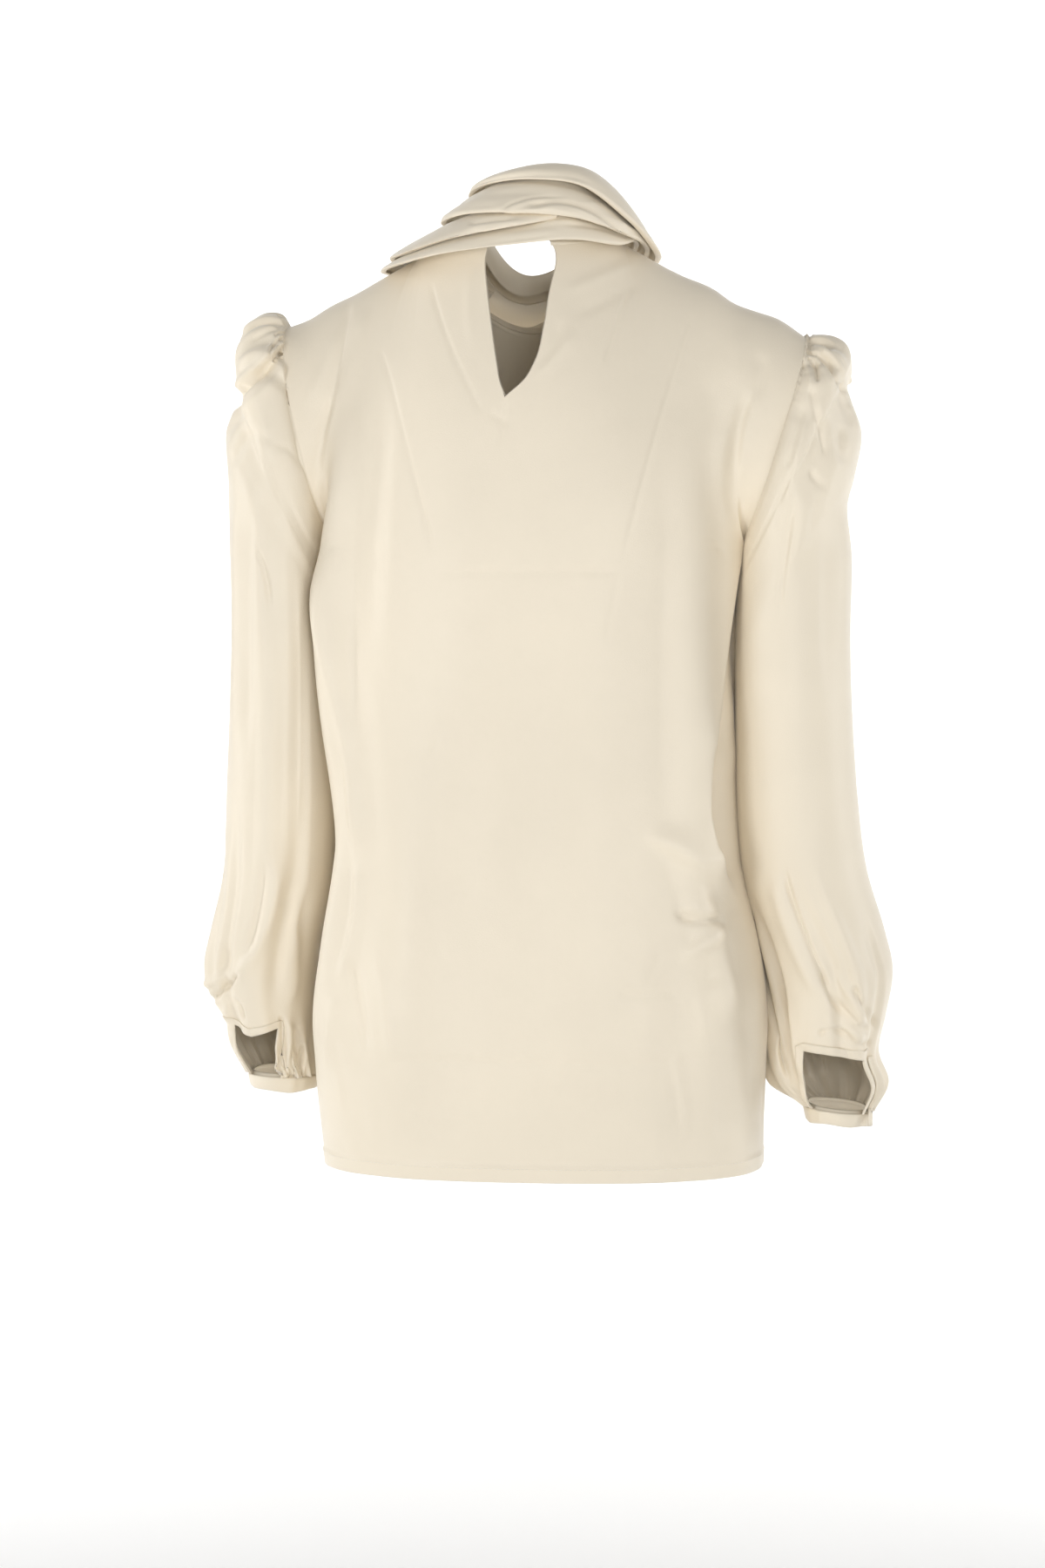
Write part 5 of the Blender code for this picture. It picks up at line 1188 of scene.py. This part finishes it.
def sleeve_grid(side):
    """The outer face of a whole sleeve, from the underarm seam round the front to it again."""
    rings = SLEEVE_RINGS[side]
    index = np.arange(len(rings["y"]))
    ways = sleeve_ways(side)
    turns = np.array([np.concatenate([sleeve_turns(side, -1, way)[::-1],
                                      sleeve_turns(side, 1, way)[1:]]) for way in ways])
    ring = np.array([sleeve_ring(side, way, np.radians(turn)) for way, turn in zip(ways, turns)])
    ring = slit_warp(side, ring, ways, turns)
    high = step(0.0, 0.035, ways) * step(0.24, 0.06, ways)
    ring[:, :, 2] -= PUFF_DROP[side] * high[:, None] * np.cos(np.radians(turns / 2)) ** 4
    if side < 0:
        low = (step(0.66, 0.80, ways) * step(1.0, 0.95, ways))[:, None]
        away = np.abs((turns - INNER_TURN + 180.0) % 360.0 - 180.0)
        ring[:, :, 0] += INNER_EASE * low * step(55.0, 18.0, away)
    height = np.array([sleeve_fold_height(side, way, turn) + head_gathers(side, way, turn)
                       + wrist_gathers(side, way, turn) for way, turn in zip(ways, turns)])
    seam = step(0.0, 10.0, 180.0 - np.abs(turns)) * step(-0.012, 0.012, ways)[:, None]
    outer, inner, middle_y = (smooth(index, rings[key], ways * index[-1])
                              for key in ("out_x", "in_x", "y"))
    hub = np.stack([(outer + inner) / 2, middle_y, ring[:, :, 2].mean(axis=1)], axis=1)
    out = unit(ring - hub[:, None])
    rows = ring + out * (height * seam)[:, :, None]
    normal = normals_of(rows)
    normal *= np.sign((normal * out).sum(axis=2, keepdims=True))
    behind = step(-0.15, 0.35, normal[:, :, 1])
    before = step(0.10, 0.50, -normal[:, :, 1])
    fine = crease_height(SLEEVE_CREASES[side], rows[:, :, 0], rows[:, :, 2]) * behind
    fine += crease_height(SLEEVE_CREASES[-side], -rows[:, :, 0], rows[:, :, 2]) * before
    reach = 0.009 + 0.018 * step(66.0, 86.0, np.abs(turns))
    fine *= step(0.0, reach, ways[:, None]) * step(0.0, 4.0, 180.0 - np.abs(turns))
    fine -= seam_dip(np.linalg.norm(rows - rows[:1], axis=2))
    rows = rows + normal * fine[:, :, None]
    rows[:, 0, 1] -= HALF_GAP
    rows[:, -1, 1] += HALF_GAP
    return rows, ways, out


def make_sleeve(side, look):
    """A sleeve, with the grid of its outer face and the row where its slit starts."""
    grid, ways, out = sleeve_grid(side)
    cloth = Cloth()
    index = cloth.add(grid)
    keep = np.ones((len(ways) - 1, grid.shape[1] - 1), bool)
    start = int(np.argmin(np.abs(ways - SLIT_WAYS[side])))
    keep[start:, SLIT_FIRST:SLIT_LAST] = False
    cloth.span(index, flip=side > 0, keep=keep)
    extra = cloth.add(turnings(grid[0], ring_centre(side) - grid[0]))
    cloth.strip(index[0], extra, flip=side < 0)
    for edge, flip in ((0, side > 0), (-1, side < 0)):
        seam = cloth.add(turnings(grid[:, edge], -out[:, edge], SLEEVE_ALLOWANCE))
        cloth.strip(index[:, edge], seam, flip=not flip)
    return cloth.make("sleeve_cloth_" + SIDE_WORDS[side], look), grid, ways, start


def moved_out(grid, distance):
    """The points of a sleeve moved out along their normals."""
    normal = normals_of(grid)
    out = grid - grid.mean(axis=1, keepdims=True)
    normal *= np.sign((normal * out).sum(axis=2, keepdims=True))
    normal[-1, :, 2] = 0.0
    return grid + unit(normal) * distance


def make_binding(side, grid, ways, start, look):
    """The strip of cloth sewn on round the slit."""
    top = int(np.argmin(np.abs(ways - SLIT_WAYS[side] + BINDING_WAY)))
    wide = BINDING_COLUMNS
    part = moved_out(grid, BINDING_LIFT)[top:, SLIT_FIRST - wide:SLIT_LAST + wide + 1]
    cloth = Cloth()
    index = cloth.add(part)
    keep = np.ones((part.shape[0] - 1, part.shape[1] - 1), bool)
    keep[start - top:, wide:wide + SLIT_LAST - SLIT_FIRST] = False
    cloth.span(index, flip=side > 0, keep=keep)
    return cloth.make("slit_edge_" + SIDE_WORDS[side], look, BINDING_WALL)


def make_tie(grid, start, look):
    """The loose tie end, from beside the right slit down past its cuff."""
    columns = slice(SLIT_FIRST - 2 * BINDING_COLUMNS, SLIT_FIRST - BINDING_COLUMNS + 1)
    rows = list(moved_out(grid, TIE_LIFT)[start:-1, columns])
    turn = np.radians(sleeve_turns(-1, 1, 1.0)[columns.start - SLEEVE_COLUMNS:
                                               columns.stop - SLEEVE_COLUMNS])
    foot = sleeve_ring(-1, 1.0, turn)
    out = foot - sleeve_ring(-1, 1.0, np.arange(0.0, 6.2, 0.2)).mean(axis=0)
    out[:, 2] = 0.0
    out = unit(out) * (TIE_LIFT + WRIST_GATHER_HEIGHT)
    rows += [foot + out - np.array([0.0, 0.0, drop]) for drop in TIE_DROPS]
    cloth = Cloth()
    index = cloth.add(np.array(rows))
    cloth.span(index)
    return cloth.make("tie_end", look, TIE_WALL)


def make_cuff(side, look):
    """A narrow band that goes on down from the gathered edge of the sleeve."""
    turn = np.arange(CUFF_COLUMNS) * 2 * math.pi / CUFF_COLUMNS
    top = sleeve_ring(side, 1.0, turn)
    out = outward_of(top)
    uneven = 0.0007 * np.sin(2 * turn + side) + 0.0005 * np.sin(5 * turn + 1.3 * side)
    ripple = 0.00035 * np.sin(9 * turn + 2.0 * np.sin(3 * turn))
    rows = []
    for drop, shrink in CUFF_ROWS:
        inset = shrink + ripple * min(1.0, max(0.0, drop / 0.003))
        row = top - out * inset[:, None]
        row[:, 2] -= drop * (1.0 - (CUFF_SHORTER + uneven) / CUFF_DEPTH)
        rows.append(row)
    cloth = Cloth()
    index = cloth.add(np.array(rows))
    cloth.span(index, closed=True, flip=side > 0)
    return cloth.make("cuff_band_" + SIDE_WORDS[side], look, CUFF_WALL)


# ---- collar -------------------------------------------------------------------------------
def round_neck(turn, radius, height):
    """A place at an angle round the neck, a distance from its leaning axis and a height."""
    angle = np.radians(turn)
    x = NECK_X - NECK_LEAN * height + radius * np.cos(angle)
    return np.stack([x, COLLAR_Y + radius * np.sin(angle), height], axis=-1)


def stretch_rows(lines, swell, turn, inner, sewn):
    """Rows of (radius, height) across one stretch of the collar, at angles round the neck.

    The inner rows take the place of the first row of its cross-section.
    """
    up = np.stack([smooth(lines["turn"], lines["up_" + k], turn) for k in "rz"], axis=1)
    low = np.stack([smooth(lines["turn"], lines["low_" + k], turn) for k in "rz"], axis=1)
    if sewn:
        peak, width, rise = UNDER_PEAK
        up[:, 1] += rise * np.exp(-((turn - peak) / width) ** 2)
    length = np.linalg.norm(low - up, axis=1, keepdims=True)
    along = (low - up) / length
    out = np.stack([-along[:, 1], along[:, 0]], axis=1)
    rows = [up - np.array([inset, drop]) for inset, drop in inner]
    for share, shift, stand, part in list(zip(*STRETCH.values()))[1 if inner else 0:]:
        rows.append(up + along * (share * length + shift) + out * (stand + part * swell))
    return rows


def neck_line(turn):
    """Points of the neckline at angles round the neck."""
    angle = np.linspace(0.0, math.pi, 181)
    loop = np.concatenate([neckline(1, angle), neckline(-1, angle[::-1])[1:-1]])
    across = loop[:, 0] - NECK_X + NECK_LEAN * loop[:, 2]
    polar = np.degrees(np.arctan2(loop[:, 1] - COLLAR_Y, across)) % 360.0
    order = np.argsort(polar)
    return np.stack([np.interp(turn % 360.0, polar[order], loop[order, k], period=360.0)
                     for k in range(3)], axis=1)


def finer(rows, count):
    """More rows between the given ones, on a smooth curve."""
    rows = np.array(rows)
    at = np.linspace(0.0, len(rows) - 1.0, count)
    index = np.arange(len(rows))
    flat = rows.reshape(len(rows), -1)
    fine = np.stack([smooth(index, flat[:, k], at) for k in range(flat.shape[1])], axis=1)
    return fine.reshape((count,) + rows.shape[1:])


def drape_height(key, turn, share):
    """Long soft folds that run round the neck with a stretch of the collar."""
    total = np.zeros_like(share)
    for name, start, rise, waves, width, height in COLLAR_FOLDS:
        if name != key:
            continue
        middle = start + rise * np.sin(np.radians(turn) * waves + start * 9.0)
        total += height * np.exp(-((share - middle) / width) ** 2)
    return total


def make_stretch(key, lines, look, closed=True, inner=(), sewn=False):
    """One stretch of the collar; sewn adds its seam to the neckline."""
    count = COLLAR_COLUMNS if closed else COLLAR_COLUMNS // 2
    turn = np.linspace(lines["turn"][0], lines["turn"][-1], count, endpoint=not closed)
    rows = [round_neck(turn, *row.T)
            for row in stretch_rows(lines, COLLAR_SWELL[key], turn, inner, sewn)]
    if sewn:
        seam = neck_line(turn)
        seam[:, 2] += 2 * HALF_GAP
        rise = seam + 0.15 * (rows[0] - seam)
        rise[:, 2] = seam[:, 2] + COLLAR_SEAM_RISE
        rows = [seam, rise] + rows
    grid = finer(rows, COLLAR_ROWS)
    share = np.repeat(np.linspace(0.0, 1.0, COLLAR_ROWS)[:, None], count, axis=1)
    if closed:
        padded = np.concatenate([grid[:, -1:], grid, grid[:, :1]], axis=1)
        normal = -normals_of(padded)[:, 1:-1]
    else:
        normal = -normals_of(grid)
    height = drape_height(key, turn[None, :], share)
    behind = step(0.0, 0.3, np.sin(np.radians(turn)))[None, :]
    height += crease_height(COLLAR_CREASES[key], grid[:, :, 0], grid[:, :, 2]) * behind
    ends = step(0.0, 0.06, share) * step(0.0, 0.03, 1.0 - share)
    grid = grid + normal * (height * ends)[:, :, None]
    cloth = Cloth()
    index = cloth.add(grid)
    cloth.span(index, closed=closed, flip=True)
    return cloth.make("scarf_" + key, look)


# ---- stitches -----------------------------------------------------------------------------
def stitches(name, path, normal, look):
    """A row of sewn stitches along a line on the cloth, each a short rounded thread."""
    steps = np.linalg.norm(np.diff(path, axis=0), axis=1)
    at = np.concatenate([[0.0], np.cumsum(steps)])
    points, faces = [], []
    last = len(THREAD_SIZES) - 1
    start = STITCH_GAP
    while start + STITCH_LENGTH < at[-1]:
        places = [np.array([np.interp(s, at, path[:, k]) for k in range(3)])
                  for s in np.linspace(start, start + STITCH_LENGTH, last + 1)]
        middle = start + STITCH_LENGTH / 2
        up = unit(np.array([np.interp(middle, at, normal[:, k]) for k in range(3)]))
        across = np.cross(up, unit(places[-1] - places[0]))
        base = len(points)
        for k, place in enumerate(places):
            lift = THREAD_RADIUS * (0.9 * math.sin(math.pi * k / last) - 0.35)
            size = THREAD_RADIUS * THREAD_SIZES[k]
            for turn in range(THREAD_SIDES):
                angle = turn * 2 * math.pi / THREAD_SIDES
                points.append(place + up * (lift + size * math.sin(angle))
                              + across * size * math.cos(angle))
        rings = [[base + THREAD_SIDES * k + turn for turn in range(THREAD_SIDES)]
                 for k in range(last + 1)]
        for ring, beyond in zip(rings, rings[1:]):
            for turn in range(THREAD_SIDES):
                right = (turn + 1) % THREAD_SIDES
                faces.append([ring[turn], ring[right], beyond[right], beyond[turn]])
        faces.append(rings[0][::-1])
        faces.append(rings[-1])
        start += STITCH_LENGTH + STITCH_GAP
    made = new_object(name, points, faces, look)
    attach(made, "root")
    return made


def hem_stitches(look, levels, back, front):
    """Machine stitches along the top of the turned hem, all round."""
    row = int(np.argmin(np.abs(levels * (BODY["z"][-1] - BODY["z"][0]) - STITCH_LINE)))
    made = []
    for name, grid, facing in (("back", back, 1), ("front", front, -1)):
        normal = normals_of(grid)[row] * facing
        made.append(stitches("hem_stitches_" + name, grid[row] + normal * 0.0001, normal, look))
    return made


# ---- materials ----------------------------------------------------------------------------
def silk(name, colour, sheen=0.35, rough=0.47):
    """Silk crepe: a warm cream with a soft sheen, a pebbled grain and slight mottling."""
    look = bpy.data.materials.new(name)
    look.use_nodes = True
    nodes, links = look.node_tree.nodes, look.node_tree.links
    shader = nodes["Principled BSDF"]
    place = nodes.new("ShaderNodeTexCoord")

    def node(kind, link_from=None, into=None, **values):
        """A node with these values, linked from an output into one of its inputs."""
        made = nodes.new("ShaderNode" + kind)
        for key, value in values.items():
            made.inputs[key.replace("_", " ")].default_value = value
        if into:
            links.new(link_from, made.inputs[into])
        return made

    def noise(scale, detail, roughness=0.5):
        return node("TexNoise", place.outputs["Object"], "Vector",
                    Scale=scale, Detail=detail, Roughness=roughness)

    ramp = node("ValToRGB", noise(MOTTLE_SCALE, 3.0).outputs["Fac"], "Fac")
    for element, where, tone in zip(ramp.color_ramp.elements, (0.32, 0.68), (0.972, 1.02)):
        element.position = where
        element.color = tuple(min(1.0, c * tone) for c in colour) + (1.0,)
    links.new(ramp.outputs["Color"], shader.inputs["Base Color"])
    pebble = node("TexVoronoi", place.outputs["Object"], "Vector", Scale=PEBBLE_SCALE)
    mix = node("Math")
    mix.operation = "MULTIPLY_ADD"
    mix.inputs[1].default_value = 0.6
    links.new(pebble.outputs["Distance"], mix.inputs[0])
    links.new(noise(GRAIN_SCALE, 2.0, 0.6).outputs["Fac"], mix.inputs[2])
    grain = node("Bump", mix.outputs["Value"], "Height",
                 Strength=GRAIN_STRENGTH, Distance=GRAIN_DEPTH)
    links.new(grain.outputs["Normal"], shader.inputs["Normal"])
    uneven = node("MapRange", noise(ROUGHNESS_SCALE, 2.0).outputs["Fac"], "Value",
                  To_Min=rough - 0.05, To_Max=rough + 0.06)
    links.new(uneven.outputs["Result"], shader.inputs["Roughness"])
    shader.inputs["Sheen Weight"].default_value = sheen
    shader.inputs["Sheen Roughness"].default_value = 0.35
    shader.inputs["Sheen Tint"].default_value = SHEEN_TINT
    shader.inputs["Specular IOR Level"].default_value = 0.42
    return look


def plain(name, colour, rough):
    """A material of one colour and roughness."""
    look = bpy.data.materials.new(name)
    look.use_nodes = True
    shader = look.node_tree.nodes["Principled BSDF"]
    shader.inputs["Base Color"].default_value = (*colour, 1.0)
    shader.inputs["Roughness"].default_value = rough
    return look


# ---- camera, light and ground -------------------------------------------------------------
def set_camera():
    """The camera behind the blouse; gives the level direction from the blouse to it."""
    data = bpy.data.cameras.new("camera")
    camera = bpy.data.objects.new("camera", data)
    bpy.context.scene.collection.objects.link(camera)
    turn = math.radians(CAMERA_TURN)
    back = Vector((math.sin(turn), -math.cos(turn), 0.0))
    camera.location = Vector((0.0, 0.0, EYE_Z)) + back * CAMERA_DISTANCE
    camera.rotation_euler = back.to_track_quat("Z", "Y").to_euler()
    data.sensor_fit = "VERTICAL"
    data.sensor_height = SENSOR
    data.lens = SENSOR / FRAME_HEIGHT * CAMERA_DISTANCE
    data.shift_x, data.shift_y = (shift / FRAME_PIXELS for shift in FRAME_SHIFT)
    bpy.context.scene.camera = camera
    return back


def area_light(name, place, aim, size, power):
    """A white rectangular light at a place, turned to what it lights."""
    data = bpy.data.lights.new(name, "AREA")
    data.shape = "RECTANGLE"
    data.size, data.size_y = size
    data.energy = power
    light = bpy.data.objects.new(name, data)
    bpy.context.scene.collection.objects.link(light)
    light.location = place
    light.rotation_euler = (Vector(place) - Vector(aim)).to_track_quat("Z", "Y").to_euler()


def set_light(back):
    """Soft lights on the back of the blouse, and lights beside it that whiten the backdrop."""
    up = Vector((0.0, 0.0, 1.0))
    right = up.cross(back).normalized()
    aim = Vector((0.0, 0.0, AIM_Z))
    for lights, target in ((LIGHTS, aim), (WALL_LIGHTS, aim - back * WALL_AWAY)):
        for name, across, toward, high, size, power in lights:
            place = aim + right * across + back * toward + up * high
            area_light(name, place, target, size, power)
    bpy.context.scene.view_settings.view_transform = "Standard"
    world = bpy.data.worlds.new("studio")
    bpy.context.scene.world = world
    world.use_nodes = True
    shader = world.node_tree.nodes["Background"]
    shader.inputs["Color"].default_value = (1.0, 1.0, 1.0, 1.0)
    shader.inputs["Strength"].default_value = WORLD_STRENGTH


def make_ground(back):
    """A pale floor that curves up into a backdrop."""
    up = Vector((0.0, 0.0, 1.0))
    right = up.cross(back).normalized()
    foot = COVE_RADIUS - WALL_AWAY
    profile = [(FLOOR_AHEAD, 0.0), (foot, 0.0)]
    for k in range(1, COVE_STEPS + 1):
        angle = math.radians(90.0 * k / COVE_STEPS)
        profile.append((foot - COVE_RADIUS * math.sin(angle), COVE_RADIUS * (1 - math.cos(angle))))
    profile.append((-WALL_AWAY, BACKDROP_HEIGHT))
    points = [back * toward + right * across + up * (FLOOR_Z + high)
              for toward, high in profile for across in (-BACKDROP_HALF, BACKDROP_HALF)]
    faces = [[2 * k, 2 * k + 1, 2 * k + 3, 2 * k + 2] for k in range(len(profile) - 1)]
    new_object("ground", points, faces, plain("studio_paper", PAPER, 0.9))


def main():
    """Builds the studio and the blouse, and hides the imported pieces that the cloth replaces."""
    back = set_camera()
    set_light(back)
    make_ground(back)
    body, sleeve, scarf = (silk("silk_crepe_" + part, CREAM) for part in ("body", "sleeve", "scarf"))
    trim = silk("silk_crepe_trim", TRIM, 0.25, 0.5)
    thread = plain("sewing_thread", THREAD, 0.55)
    front, front_grid = make_front(body)
    back_piece, back_grid, levels = make_back(body)
    hems = hem_stitches(thread, levels, back_grid, front_grid)
    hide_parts("front_panel")
    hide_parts("back_panel")
    sleeves, cuffs, edges = {}, {}, {}
    for side, word in SIDE_WORDS.items():
        sleeves[side], grid, ways, start = make_sleeve(side, sleeve)
        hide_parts(f"sleeve_{word}_back", f"sleeve_{word}_front")
        edges[side] = make_binding(side, grid, ways, start, trim)
        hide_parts(f"slit_binding_{word}")
        cuffs[side] = make_cuff(side, trim)
        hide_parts(f"cuff_{word}")
        if side < 0:
            tie = make_tie(grid, start, trim)
            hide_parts("cuff_tie")
    scarves = {
        "roll": make_stretch("roll", COLLAR_ROLL, scarf, inner=ROLL_INSIDE),
        "wrap": make_stretch("wrap", COLLAR_WRAP, scarf),
        "left": make_stretch("left", COLLAR_LEFT, scarf, closed=False),
        "under": make_stretch("under", COLLAR_UNDER, scarf, inner=UNDER_INSIDE, sewn=True),
    }
    for key, piece in scarves.items():
        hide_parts("collar_" + key)


main()
